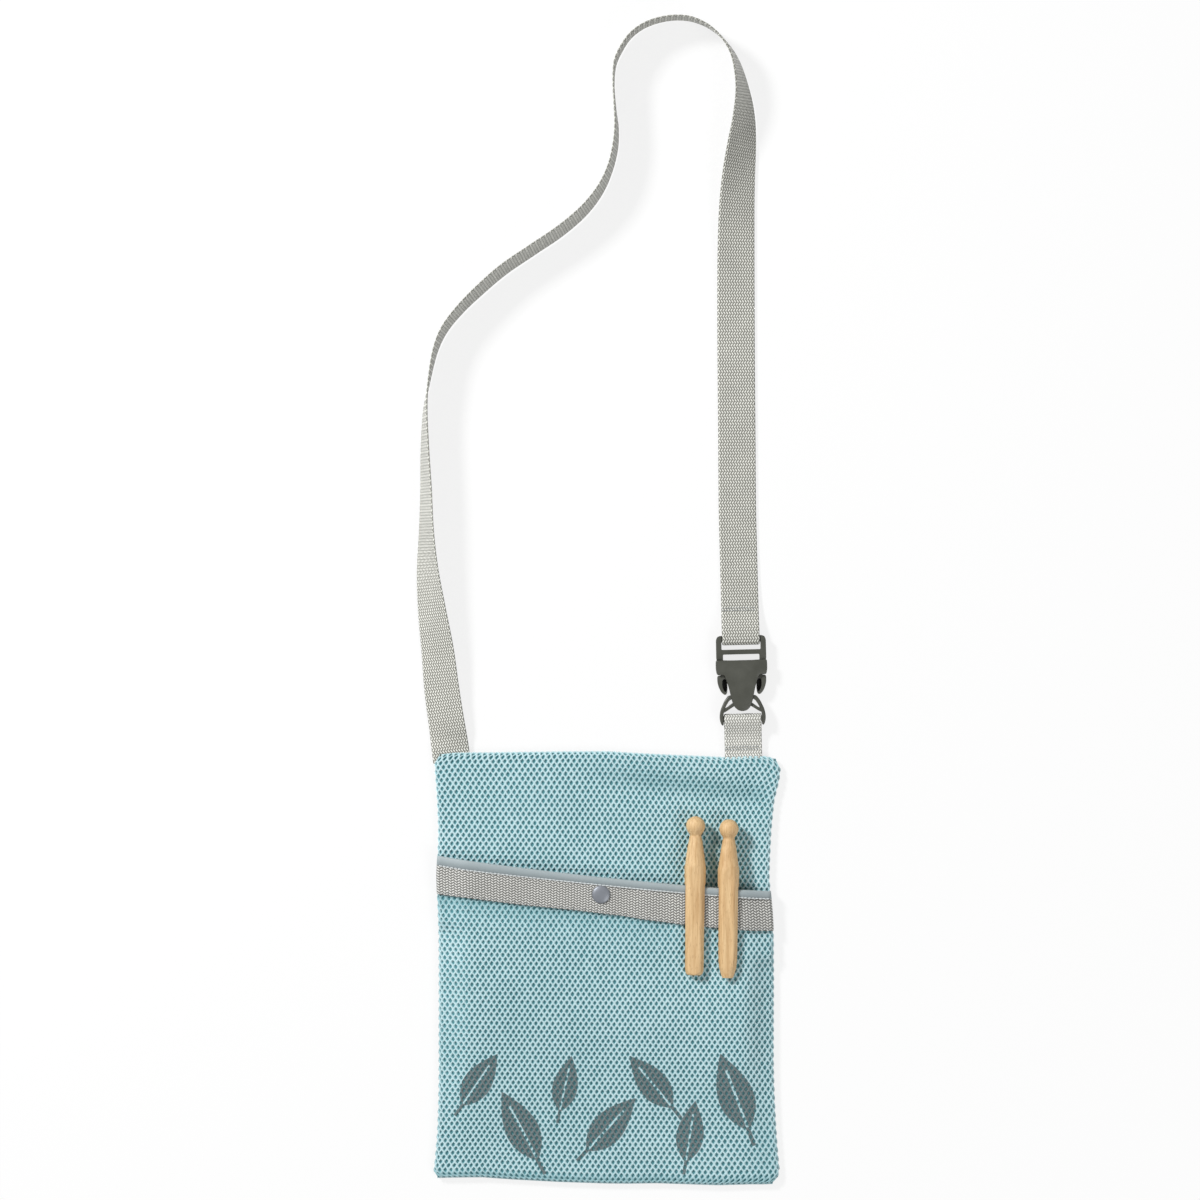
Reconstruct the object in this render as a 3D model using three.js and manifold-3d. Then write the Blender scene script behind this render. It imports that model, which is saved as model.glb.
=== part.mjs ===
// A peg bag of light-blue spacer mesh, lying on its back: slanted pocket, press stud, webbing strap,
// side-release buckle and two wooden dolly pegs over the pocket mouth.
// Millimetres. X is across the bag, Y runs up towards the strap, Z is up from the floor.

import * as THREE from 'three';
import { mergeVertices } from 'three/addons/utils/BufferGeometryUtils.js';
import ManifoldModule from 'manifold-3d';

const manifoldLib = await ManifoldModule();
manifoldLib.setup();

// Bag
const HALF_HEIGHT = 140;
const WAIST_HALF = 110.3;
const FLARE = 3.5;
const CORNER_R = 8;
const MESH_T = 2.5;
const GAP = 0.3;
const UPPER_Z = MESH_T + GAP;
const UNDERLAP = 38;

// Pocket mouth: the binding's top edge is MOUTH_Y + MOUTH_SLOPE x + MOUTH_BOW x squared
const MOUTH_Y = HALF_HEIGHT - 80.3;
const MOUTH_SLOPE = -0.0953;
const MOUTH_BOW = 0.000208;
const POCKET_LIFT = 11.25;
const POCKET_RISE = 22;
const POCKET_FLAT = 72;
const PRESSED_T = 1.3;
const LAYER_GAP = 0.2;
const BAND_W = 25;
const BAND_T = 1.15;
const BAND_END = 1.5;
const BINDING_T = 0.5;
const BINDING_W = 4.2;
const BINDING_WIDER = 1.2;
const SEAM_Z = UPPER_Z + MESH_T + GAP + BINDING_T + LAYER_GAP + 0.1;

// Press stud
const STUD_X = -4.1;
const STUD_Y = MOUTH_Y - 10.9;
const CAP_R = 5.9;
const STUD_R = 5.2;

// Strap and tab
const STRAP_W = 25;
const STRAP_T = 1.3;
const STRAP_X = 6.4 - WAIST_HALF;
const TAB_W = 24.4;
const TAB_T = 1.2;
const SEWN = 11;

// Buckle, in a frame of its own: u across, v away from the bag's top edge
const BUCKLE_X = WAIST_HALF - 21.7;
const BUCKLE_TILT = THREE.MathUtils.degToRad(2);
const BUCKLE_HALF = 16.8;
const PLATE_T = 1.8;
const PLATE_LOW = 0.4;
const PLATE_HIGH = 7;
const SHOULDER_V = 53.5;
const MOUTH_V = 63.4;
const BAR_V = 24.5;
const BAR_Z = 4.6;
const BAR_R = 2;
const PRONG_U = 11.5;
const PRONG_V = 60.2;
const KNUCKLE_R = 1.6;
const SLOT_1 = [70, 75];
const SLOT_2 = [63, 66.9];
const MALE_TOP = 79.2;

// Pegs
const PEG_Z = 12.7;
const PEG_SLOT = 4.9;
const PEG_LEFT = [WAIST_HALF - 52.9, MOUTH_Y + 34.6];
const PEG_RIGHT = [WAIST_HALF - 31.1, MOUTH_Y + 32.9];

// Strap's route over the floor: x, distance above the bag's top edge and the webbing's lean in degrees,
// 0 flat and 90 on its edge
const STRAP_ROUTE = [
  [-106, 15, 12], [-110, 41, 19], [-113, 67, 28], [-117, 94, 40], [-120, 120, 53],
  [-121, 146, 65], [-121.5, 173, 71], [-122.5, 199, 76], [-122.5, 225, 83], [-121, 239, 88],
  [-116, 265, 94], [-110.3, 278, 97], [-100.3, 291, 99], [-87.8, 303.6, 101], [-72.6, 317, 102],
  [-54, 330, 102], [-34.6, 343.5, 102], [-19.3, 357.2, 101], [-9.3, 370.6, 99], [-3.2, 384.3, 97],
  [0, 398, 97], [0.8, 411, 95], [-0.4, 425, 92], [-1.5, 441, 91], [-0.4, 454, 92],
  [3.6, 463, 92], [9.4, 471.4, 91], [19, 478.4, 90], [33.2, 482.8, 89], [47.2, 482.9, 88],
  [58.6, 478.9, 86], [66.9, 472.9, 84], [73.1, 465.8, 82], [77.3, 458.6, 79], [80.5, 449.4, 74],
  [82.8, 439, 68], [84.1, 428, 59], [84.2, 415, 49], [83, 400, 38], [81.5, 384, 29],
  [80.5, 366, 20], [80.2, 346, 12], [80.3, 320, 5], [81, 267, 0], [82, 214, 0], [83, 160, 0],
];

// Strap's fold round the buckle's top bar: v and height of the webbing's middle
const STRAP_FOLD = [
  [132, 0.95], [112, 1.3], [104, 1.9], [97, 2.65], [89, 4.6], [82.4, 6.9], [79.2, 7.35], [76.1, 7.35],
  [74.4, 6.8], [73.65, 5.6], [73.6, 4.7], [73.65, 3.8], [74.4, 2.6], [76.1, 2.05], [79.2, 2],
  [85, 1.45], [91, 1.05], [96, 0.95],
];

// Tab's loop round the buckle's lower bar: v and height of the webbing's middle
const TAB_LOOP = [
  [-SEWN, 1.9], [0, 1.9], [8, 1.9], [14, 1.85], [19, 1.75], [22.6, 1.7], [24.5, 1.7], [26.55, 2.55],
  [27.4, 4.6], [26.55, 6.65], [24.5, 7.5], [22.4, 7.25], [19, 5.9], [15.5, 4.4], [12, 3.6],
  [8, 3.4], [0, 3.4], [-SEWN, 3.4],
];

const smooth = (t) => THREE.MathUtils.smoothstep(t, 0, 1);

// Half of the bag's width at a height y, before the corners are rounded
function sideX(y) {
  const out = Math.max(0, Math.abs(y) - 60) / 80;
  return WAIST_HALF + FLARE * out * out;
}

function cornerIn(y) {
  const left = HALF_HEIGHT - Math.abs(y);
  if (left >= CORNER_R) return 0;
  return CORNER_R - Math.sqrt(Math.max(0, CORNER_R ** 2 - (CORNER_R - left) ** 2));
}

const halfX = (y) => sideX(y) - cornerIn(y);
const bindingY = (x) => MOUTH_Y + MOUTH_SLOPE * x + MOUTH_BOW * x * x;
const mouthY = (x) => bindingY(x) - BINDING_T - GAP;

// How far a turned edge rounds off at a distance in from it
const turned = (d) => (d < 2.5 ? 1.1 * (1 - d / 2.5) ** 2 : 0);

// Height of the pocket panel's inner face
function pocketInner(x, y) {
  const rise = smooth((sideX(y) - Math.abs(x)) / POCKET_RISE);
  const below = mouthY(x) - y;
  const fall = 1 - smooth((below - POCKET_FLAT) / (mouthY(x) + HALF_HEIGHT - POCKET_FLAT));
  const seam = SEAM_Z - (SEAM_Z - UPPER_Z) * smooth((below - UNDERLAP - 1) / 12);
  return seam + (POCKET_LIFT - seam) * rise * fall;
}

// The mesh is pressed thin under the webbing band and springs back below it
function pocketThickness(x, y) {
  const below = mouthY(x) - y;
  return PRESSED_T + (MESH_T - PRESSED_T) * smooth((below - BAND_W - 0.5) / 7);
}

// Turns a geometry so that it has a volume above zero, with shared corners and nothing but positions
function solidGeometry(geometry) {
  const plain = new THREE.BufferGeometry();
  plain.setAttribute('position', geometry.getAttribute('position').clone());
  if (geometry.index) plain.setIndex(geometry.index.clone());
  const welded = mergeVertices(plain, 1e-4);
  const p = welded.getAttribute('position');
  const a = new THREE.Vector3();
  const b = new THREE.Vector3();
  const c = new THREE.Vector3();
  const kept = [];
  let volume = 0;
  for (let i = 0; i < welded.index.count; i += 3) {
    const [m, n, o] = [0, 1, 2].map((k) => welded.index.getX(i + k));
    if (m === n || n === o || o === m) continue;
    kept.push(m, n, o);
    volume += a.fromBufferAttribute(p, m).dot(b.fromBufferAttribute(p, n).cross(c.fromBufferAttribute(p, o)));
  }
  if (volume < 0) kept.reverse();
  welded.setIndex(kept);
  return welded;
}

function toManifold(geometry) {
  const solid = solidGeometry(geometry);
  const mesh = new manifoldLib.Mesh({
    numProp: 3,
    vertProperties: new Float32Array(solid.getAttribute('position').array),
    triVerts: new Uint32Array(solid.index.array),
  });
  mesh.merge();
  return new manifoldLib.Manifold(mesh);
}

function fromManifold(manifold) {
  const mesh = manifold.getMesh();
  const geometry = new THREE.BufferGeometry();
  const corners = new Float32Array(mesh.numVert * 3);
  for (let i = 0; i < mesh.numVert; i += 1) {
    for (let k = 0; k < 3; k += 1) corners[3 * i + k] = mesh.vertProperties[mesh.numProp * i + k];
  }
  geometry.setAttribute('position', new THREE.BufferAttribute(corners, 3));
  geometry.setIndex(Array.from(mesh.triVerts));
  return geometry;
}

const cut = (geometry, ...tools) =>
  fromManifold(tools.reduce((body, tool) => body.subtract(toManifold(tool)), toManifold(geometry)));

const join = (...pieces) =>
  fromManifold(pieces.slice(1).reduce((body, piece) => body.add(toManifold(piece)), toManifold(pieces[0])));

// A closed sheet between two grids of points, each a list of rows of Vector3
function sheetSolid(upper, lower) {
  const rows = upper.length;
  const cols = upper[0].length;
  const corners = [...upper.flat(), ...lower.flat()];
  const at = (side, i, j) => side * rows * cols + i * cols + j;
  const faces = [];
  const quad = (a, b, c, d) => faces.push(a, b, c, a, c, d);
  for (let i = 0; i + 1 < rows; i += 1) {
    for (let j = 0; j + 1 < cols; j += 1) {
      quad(at(0, i, j), at(0, i, j + 1), at(0, i + 1, j + 1), at(0, i + 1, j));
      quad(at(1, i, j), at(1, i + 1, j), at(1, i + 1, j + 1), at(1, i, j + 1));
    }
    quad(at(0, i, 0), at(0, i + 1, 0), at(1, i + 1, 0), at(1, i, 0));
    quad(at(0, i, cols - 1), at(1, i, cols - 1), at(1, i + 1, cols - 1), at(0, i + 1, cols - 1));
  }
  for (let j = 0; j + 1 < cols; j += 1) {
    quad(at(0, 0, j), at(1, 0, j), at(1, 0, j + 1), at(0, 0, j + 1));
    quad(at(0, rows - 1, j), at(0, rows - 1, j + 1), at(1, rows - 1, j + 1), at(1, rows - 1, j));
  }
  const geometry = new THREE.BufferGeometry().setFromPoints(corners);
  geometry.setIndex(faces);
  return solidGeometry(geometry);
}

// A closed ring of points carried along a row of stations, with flat ends
function sweptSolid(stations) {
  const around = stations[0].length;
  const faces = [];
  const at = (i, j) => i * around + (j % around);
  for (let i = 0; i + 1 < stations.length; i += 1) {
    for (let j = 0; j < around; j += 1) {
      faces.push(at(i, j), at(i, j + 1), at(i + 1, j + 1), at(i, j), at(i + 1, j + 1), at(i + 1, j));
    }
  }
  const outline = (ring) => {
    const [o, e, f] = [ring[0], ring[1], ring[ring.length - 1]];
    const ex = e.clone().sub(o).normalize();
    const nz = ex.clone().cross(f.clone().sub(o)).normalize();
    const ey = nz.clone().cross(ex);
    return ring.map((p) => new THREE.Vector2(p.clone().sub(o).dot(ex), p.clone().sub(o).dot(ey)));
  };
  const last = stations.length - 1;
  for (const [a, b, c] of THREE.ShapeUtils.triangulateShape(outline(stations[0]), [])) {
    faces.push(at(0, c), at(0, b), at(0, a));
    faces.push(at(last, a), at(last, b), at(last, c));
  }
  const geometry = new THREE.BufferGeometry().setFromPoints(stations.flat());
  geometry.setIndex(faces);
  return solidGeometry(geometry);
}

// Webbing: a flat strip through stations of a middle, a direction across and a direction out of its face
function webbing(stations, width, thickness) {
  return sweptSolid(stations.map(({ middle, across, out }) => {
    const a = across.clone().multiplyScalar(width / 2);
    const n = out.clone().multiplyScalar(thickness / 2);
    return [
      middle.clone().sub(a).sub(n),
      middle.clone().add(a).sub(n),
      middle.clone().add(a).add(n),
      middle.clone().sub(a).add(n),
    ];
  }));
}

// A plate from a right-hand outline, mirrored to the left, between two heights
function plate(right, low, high, bevel) {
  const left = right.slice().reverse().map(([u, v]) => [-u, v]).filter(([u]) => u !== 0);
  const shape = new THREE.Shape([...right, ...left].map(([u, v]) => new THREE.Vector2(u, v)));
  return extrude(shape, low, high, bevel);
}

function extrude(shape, low, high, bevel = 0) {
  const geometry = new THREE.ExtrudeGeometry(shape, {
    depth: high - low - 2 * bevel,
    bevelEnabled: bevel > 0,
    bevelThickness: bevel,
    bevelSize: bevel,
    bevelOffset: -bevel,
    bevelSegments: 1,
    curveSegments: 6,
  });
  return geometry.translate(0, 0, low + bevel);
}

const box = (x0, x1, y0, y1, z0, z1) =>
  new THREE.BoxGeometry(x1 - x0, y1 - y0, z1 - z0).translate((x0 + x1) / 2, (y0 + y1) / 2, (z0 + z1) / 2);

// A turned piece on a line along Z
const turnedPiece = (profile, x, y, segments = 24) =>
  new THREE.LatheGeometry(profile.map(([r, z]) => new THREE.Vector2(r, z)), segments)
    .rotateX(Math.PI / 2)
    .translate(x, y, 0);

const rod = (r, x, y, z0, z1, segments = 20) =>
  new THREE.CylinderGeometry(r, r, z1 - z0, segments).rotateX(Math.PI / 2).translate(x, y, (z0 + z1) / 2);

const group = new THREE.Group();

function addPart(name, geometry, color, roughness, metalness = 0, parent = group) {
  const shown = geometry.toNonIndexed();
  shown.computeVertexNormals();
  const mesh = new THREE.Mesh(shown, new THREE.MeshStandardMaterial({ color, roughness, metalness }));
  mesh.name = name;
  parent.add(mesh);
  return mesh;
}

const MESH_BLUE = 0xa4cdd3;
const WEBBING_GREY = 0xc8c6be;
const BINDING_BLUE = 0xa0a6ae;
const STUD_BLUE = 0x8f949d;
const STUD_METAL = 0xb8bbbd;
const BUCKLE_GREY = 0x57574f;
const BEECH = 0xe3c08b;

// Panels
const EDGE_STEPS = [0, 0.8, 2.5];
const columns = (half, steps) =>
  [...steps.map((d) => d - half), ...steps.slice().reverse().map((d) => half - d)];

// Column places as a side and a distance in from it, from the left seam to the right one
const fromSides = (inset) =>
  [...inset.map((d) => [-1, d]), ...inset.slice(0, -1).reverse().map((d) => [1, d])];

function backPanel() {
  const ends = [0, 0.7, 2.5, 5, CORNER_R];
  const rows = [
    ...ends.map((d) => d - HALF_HEIGHT), -110, -85, -60, 60, 85, 110,
    ...ends.slice().reverse().map((d) => HALF_HEIGHT - d),
  ];
  const face = (z, sign) => rows.map((y) => columns(halfX(y), [...EDGE_STEPS, 40]).map((x) => {
    const d = Math.min(halfX(y) - Math.abs(x), HALF_HEIGHT - Math.abs(y));
    return new THREE.Vector3(x, y, z + sign * turned(d));
  }));
  return sheetSolid(face(MESH_T, 0), face(0, 1));
}

function upperPanel() {
  const ends = [0, 0.7, 2.5, 5, CORNER_R];
  const shares = [0.2, 0.4, 0.6, 0.8, 1];
  const face = (z, sign) => [...ends, ...shares].map((step, i) => {
    const rowY = (x) => {
      if (i < ends.length) return HALF_HEIGHT - step;
      const top = HALF_HEIGHT - CORNER_R;
      return top + (mouthY(x) - UNDERLAP - top) * step;
    };
    return fromSides([...EDGE_STEPS, 20, 45, 75, 110]).map(([side, d]) => {
      const guess = side * (WAIST_HALF - d);
      const half = i < ends.length ? halfX(rowY(guess)) : sideX(rowY(guess));
      const x = d === 110 ? 0 : side * (half - d);
      const y = rowY(x);
      return new THREE.Vector3(x, y, z - sign * turned(Math.min(d, HALF_HEIGHT - y)));
    });
  });
  return sheetSolid(face(UPPER_Z + MESH_T, 1), face(UPPER_Z, 0));
}

function pocketPanel() {
  const steps = [0, 2.5, 8, 16, 25.5, 29, 33, 39, 45, 52, 62, 72, 88, 104, 120, 136, 152, 168, 180, 188, 192];
  const ends = [5.5, 2.5, 0.7, 0];
  const spots = fromSides([...EDGE_STEPS, 6, 10, 14, 18, 22, 50, 80, 110]);
  const rowY = (x, i) => {
    if (i >= steps.length) return ends[i - steps.length] - HALF_HEIGHT;
    return mouthY(x) - (steps[i] / 192) * (mouthY(x) + HALF_HEIGHT - CORNER_R);
  };
  const face = (outer) => [...steps, ...ends].map((_, i) => spots.map(([side, d]) => {
    const guess = side * (WAIST_HALF - d);
    const x = d === 110 ? 0 : side * (halfX(rowY(guess, i)) - d);
    const y = rowY(x, i);
    const z = pocketInner(x, y);
    if (!outer) return new THREE.Vector3(x, y, z);
    const round = turned(Math.min(d, HALF_HEIGHT + y));
    return new THREE.Vector3(x, y, z + pocketThickness(x, y) - Math.min(round, 0.7));
  }));
  return sheetSolid(face(true), face(false));
}

// Stations across the mouth, from side seam to side seam
const MOUTH_STATIONS = (() => {
  const half = sideX(50) - BAND_END;
  const inner = [0, 4, 7, 10.5, 14, 17.5, 21, 36, 54, 72, 90];
  return [...inner.map((d) => d - half), 0, ...inner.slice().reverse().map((d) => half - d)];
})();

function mouthBand() {
  const downs = [0, 8, 16.5, BAND_W];
  const face = (lift) => downs.map((d) => MOUTH_STATIONS.map((x) => {
    const y = mouthY(x) - d;
    return new THREE.Vector3(x, y, pocketInner(x, y) + PRESSED_T + LAYER_GAP + lift);
  }));
  return sheetSolid(face(BAND_T), face(0));
}

function mouthBinding() {
  const inside = -LAYER_GAP;
  const outside = PRESSED_T + LAYER_GAP + BAND_T + LAYER_GAP;
  const lip = -GAP;
  const width = (x) => BINDING_W + BINDING_WIDER * smooth(-x / WAIST_HALF);
  const profile = (w) => [
    [w, inside - BINDING_T], [lip, inside - BINDING_T], [lip - BINDING_T, inside],
    [lip - BINDING_T, outside], [lip, outside + BINDING_T], [w, outside + BINDING_T],
    [w, outside], [lip, outside], [lip, inside], [w, inside],
  ];
  return sweptSolid(MOUTH_STATIONS.map((x) => profile(width(x)).map(([d, z]) => {
    const y = mouthY(x) - d;
    return new THREE.Vector3(x, y, pocketInner(x, mouthY(x) - 2) + z);
  })));
}

// Strap, tab and the recesses that they are sewn into
const UP = new THREE.Vector3(0, 0, 1);
const buckleFrame = new THREE.Group();
buckleFrame.position.set(BUCKLE_X, HALF_HEIGHT, 0);
buckleFrame.rotation.z = BUCKLE_TILT;
buckleFrame.updateMatrix();
group.add(buckleFrame);

function foldStations(points, samples) {
  const middles = points.map(([v, z]) => new THREE.Vector3(0, v, z));
  const curve = new THREE.CatmullRomCurve3(middles, false, 'centripetal');
  const across = new THREE.Vector3(-1, 0, 0);
  return Array.from({ length: samples + 1 }, (_, i) => {
    const middle = curve.getPoint(i / samples);
    const out = across.clone().cross(curve.getTangent(i / samples)).normalize();
    return { middle, across: across.clone(), out };
  });
}

function strapStations() {
  const start = [
    [STRAP_X + 1.3, HALF_HEIGHT - SEWN, 0],
    [STRAP_X + 0.5, HALF_HEIGHT - 4, 0],
    [STRAP_X - 0.2, HALF_HEIGHT + 2, 0],
  ];
  const end = [[132, 0], [112, 0]].map(([v, lean]) => {
    const p = new THREE.Vector3(0, v, 0).applyMatrix4(buckleFrame.matrix);
    return [p.x, p.y, lean];
  });
  const route = [...start, ...STRAP_ROUTE.map(([x, up, lean]) => [x, HALF_HEIGHT + up, lean]), ...end];
  const curve = new THREE.CatmullRomCurve3(route.map((p) => new THREE.Vector3(...p)), false, 'centripetal');
  const count = 2 * (route.length - 2);
  const loop = [];
  for (let i = 0; i < count; i += 1) {
    const t = i / (count + 2);
    const p = curve.getPoint(t);
    const along = curve.getTangent(t).setZ(0).normalize();
    const lean = THREE.MathUtils.degToRad(Math.max(0, p.z));
    const across = along.clone().cross(UP).multiplyScalar(Math.cos(lean)).addScaledVector(UP, Math.sin(lean));
    const rest = (STRAP_W / 2) * Math.sin(lean) + (STRAP_T / 2) * Math.abs(Math.cos(lean)) + GAP;
    const sewn = (UPPER_Z - GAP / 2 - rest) * (1 - smooth((p.y - HALF_HEIGHT - 3) / 26));
    p.z = rest + Math.max(0, sewn);
    loop.push({ middle: p, across, out: across.clone().cross(along).normalize() });
  }
  const fold = foldStations(STRAP_FOLD, 40).map(({ middle, across, out }) => ({
    middle: middle.applyMatrix4(buckleFrame.matrix),
    across: across.applyEuler(buckleFrame.rotation),
    out: out.applyEuler(buckleFrame.rotation),
  }));
  return [...loop, ...fold];
}

const strapRecess = box(
  -125, STRAP_X + STRAP_W / 2 + 2.2,
  HALF_HEIGHT - SEWN - 2.2, HALF_HEIGHT + 5,
  UPPER_Z - GAP / 2 - STRAP_T / 2 - GAP, UPPER_Z - GAP / 2 + STRAP_T / 2 + GAP,
);
const tabRecess = box(
  -TAB_W / 2 - 0.4, TAB_W / 2 + 0.4,
  -SEWN - 0.5, 6,
  1.9 - TAB_T / 2 - GAP, 3.4 + TAB_T / 2 + GAP,
).applyMatrix4(buckleFrame.matrix);

// Press stud, upwards: rivet plate, nub, socket, cap
const studZ = UPPER_Z + MESH_T;
const plateRecess = rod(STUD_R + 0.2, STUD_X, STUD_Y, UPPER_Z - 1, UPPER_Z + 0.9);
const postHole = rod(1.4, STUD_X, STUD_Y, UPPER_Z - 1, studZ + 1);
const capHole = rod(2.3, STUD_X, STUD_Y, POCKET_LIFT - 1, POCKET_LIFT + 5);

addPart('back_panel', cut(backPanel(), strapRecess, tabRecess), MESH_BLUE, 0.95);
const upperCut = cut(upperPanel(), strapRecess, tabRecess, plateRecess, postHole);
addPart('upper_front_panel', upperCut, MESH_BLUE, 0.95);
addPart('pocket_panel', cut(pocketPanel(), capHole), MESH_BLUE, 0.95);
addPart('mouth_webbing', cut(mouthBand(), capHole), WEBBING_GREY, 0.9);
addPart('mouth_binding', mouthBinding(), BINDING_BLUE, 0.8);

const capZ = POCKET_LIFT + PRESSED_T + LAYER_GAP + BAND_T + LAYER_GAP;
addPart('stud_cap', solidGeometry(turnedPiece([
  [0, 10], [1.9, 10], [1.9, capZ], [CAP_R - 0.4, capZ], [CAP_R, capZ + 0.4], [CAP_R, capZ + 0.9],
  [CAP_R - 0.5, capZ + 1.3], [CAP_R - 1.2, capZ + 1.35], [2.6, capZ + 1.75], [0, capZ + 1.9],
], STUD_X, STUD_Y)), STUD_BLUE, 0.45);
addPart('stud_socket', solidGeometry(turnedPiece([
  [2.45, 7.6], [4.4, 7.6], [STUD_R, 8.4], [STUD_R, POCKET_LIFT - GAP], [2.2, POCKET_LIFT - GAP], [2.2, 9.6],
  [2.7, 9.5], [2.7, 8.3], [2.45, 7.6],
], STUD_X, STUD_Y)), STUD_METAL, 0.35, 0.8);
addPart('stud_nub', solidGeometry(turnedPiece([
  [1.3, studZ + GAP], [STUD_R, studZ + GAP], [STUD_R, studZ + 0.9], [4.6, studZ + 1.1], [2, studZ + 1.2],
  [1.8, 7.6], [2.1, 8.3], [2.1, 8.8], [1.6, 9.2], [0, 9.3], [0, 7.6], [1.3, 7.6], [1.3, studZ + GAP],
], STUD_X, STUD_Y)), STUD_METAL, 0.35, 0.8);
addPart('stud_post', solidGeometry(turnedPiece([
  [0, UPPER_Z], [STUD_R - 0.2, UPPER_Z], [STUD_R - 0.2, UPPER_Z + 0.6],
  [1, UPPER_Z + 0.6], [1, 7.3], [0, 7.3],
], STUD_X, STUD_Y)), STUD_METAL, 0.35, 0.8);

addPart('shoulder_strap', webbing(strapStations(), STRAP_W, STRAP_T), WEBBING_GREY, 0.9);
addPart('buckle_tab', webbing(foldStations(TAB_LOOP, 40), TAB_W, TAB_T), WEBBING_GREY, 0.9, 0, buckleFrame);

// Buckle's housing: two shield plates, two shoulders that the prongs catch on, wings and the tab's bar
const SHIELD = [
  [0, MOUTH_V - 0.9], [8, MOUTH_V - 0.5], [15.3, MOUTH_V], [16.4, 62.6], [BUCKLE_HALF, 61.4],
  [BUCKLE_HALF, 57.5], [16.5, 55.2], [16, SHOULDER_V], [11.6, SHOULDER_V], [10.6, 51.7], [9.8, 49],
  [9, 46.5], [8.2, 43.5], [7.6, 40.5], [6.6, 36], [5.2, 32.4], [3, 30.2], [0, 29.5],
];
const WING = [
  [5.5, 40.2], [8.4, 40], [9.6, 39.4], [11.8, 36.4], [14.2, 31.2], [15.1, 27.2], [15, 23.6], [14, 20.6],
  [13, 20.3], [12.6, 21.4], [12.6, 28.4], [10.9, 33], [8.4, 37], [5.5, 38],
];
const ARCH = [
  [4.6, 33.4], [7.4, 31.7], [10, 30], [12.2, 28.8], [13.6, 28.5], [14, 30.6], [12.2, 31.1], [9.6, 32.6],
  [7, 34.6], [4.6, 36.2],
];
const sideShape = (outline, side) => new THREE.Shape(outline.map(([u, v]) => new THREE.Vector2(side * u, v)));
const wing = (side) => extrude(sideShape(WING, side), PLATE_LOW + 0.8, PLATE_HIGH + 1, 0.5);
const arch = (side) => extrude(sideShape(ARCH, side), PLATE_LOW + 1.2, PLATE_HIGH + 0.6, 0.3);
const shoulder = (side) => box(
  side < 0 ? -15.5 : 14.1, side < 0 ? -14.1 : 15.5,
  SHOULDER_V, MOUTH_V - 0.6, PLATE_LOW + 0.6, PLATE_HIGH + 1,
);
const tabBar = new THREE.CylinderGeometry(BAR_R, BAR_R, 27.4, 16)
  .rotateZ(Math.PI / 2)
  .translate(0, BAR_V, BAR_Z);
addPart('buckle_female', join(
  plate(SHIELD, PLATE_LOW, PLATE_LOW + PLATE_T, 0.4),
  plate(SHIELD, PLATE_HIGH, PLATE_HIGH + PLATE_T, 0.5),
  shoulder(-1), shoulder(1), wing(-1), wing(1), arch(-1), arch(1), tabBar,
  box(-6, 6, 36.5, 41, PLATE_LOW + 1, PLATE_HIGH + 1),
), BUCKLE_GREY, 0.55, 0, buckleFrame);

// Buckle's other half: ladder lock, cross member and centre guide
const MALE_FRAME = [
  [0, 63.8], [15.4, 63.8], [16.35, 64.8], [16.35, 76.6], [15.5, 78.5], [13.8, MALE_TOP], [0, MALE_TOP],
];
const maleBody = join(
  plate(MALE_FRAME, 2.6, 6.8, 0.5),
  box(-13.6, 13.6, PRONG_V, 65, 2.6, 6.6),
  box(-2.5, 2.5, 48, 61, 3.3, 5.9),
);
addPart('buckle_male', cut(
  maleBody,
  box(-12.85, 12.85, ...SLOT_1, 0, 10),
  box(-12, 12, ...SLOT_2, 0, 10),
  box(-12.85, 12.85, SLOT_1[1] - 0.5, MALE_TOP + 1, 6.4, 10),
  box(-12.85, 12.85, SLOT_1[1] - 0.5, MALE_TOP + 1, 0, 3),
  rod(KNUCKLE_R + GAP, -PRONG_U, PRONG_V, 0, 10),
  rod(KNUCKLE_R + GAP, PRONG_U, PRONG_V, 0, 10),
), BUCKLE_GREY, 0.55, 0, buckleFrame);

const PRONG = [
  [12.9, 59.6], [13.2, 55], [13.4, 53.2], [15.6, 53.1], [16.1, 52.1], [16, 48.6], [15.2, 45.4], [13.9, 42.6],
  [12.3, 40.8], [11, 40.4], [9.9, 41.4], [9.5, 45], [9.7, 50], [10.1, 55], [10.1, 59.6],
];
for (const [name, side] of [['buckle_prong_left', -1], ['buckle_prong_right', 1]]) {
  addPart(name, join(
    extrude(sideShape(PRONG, side), 2.7, 6.5, 0.4),
    rod(KNUCKLE_R, side * PRONG_U, PRONG_V, 2.7, 6.5),
  ), BUCKLE_GREY, 0.55, 0, buckleFrame);
}

// Dolly pegs: round head, neck, flared shoulder and two legs either side of a slot
const PEG = [
  [0, 6.3], [2.4, 5.8], [4.45, 4.45], [5.8, 2.4], [6.3, 0], [5.9, -2.2], [5, -4], [3.9, -5.5], [3.65, -6.5],
  [4.7, -7.1], [4.9, -8.2], [5.2, -10.5], [6, -16], [6.7, -22], [7.05, -27.5], [6.9, -36], [6.5, -50],
  [6.4, -72], [6.35, -92], [6.3, -95], [5.9, -96.9], [5, -97.6], [0, -97.6],
];
for (const [name, [x, y]] of [['peg_left', PEG_LEFT], ['peg_right', PEG_RIGHT]]) {
  const turnedPeg = new THREE.LatheGeometry(PEG.map(([r, d]) => new THREE.Vector2(r, d)), 20)
    .translate(x, y, PEG_Z);
  const slot = box(x - 10, x + 10, y - 110, bindingY(x) + 1.2, PEG_Z - PEG_SLOT / 2, PEG_Z + PEG_SLOT / 2);
  addPart(name, cut(turnedPeg, slot), BEECH, 0.6);
}

export default group;
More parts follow.
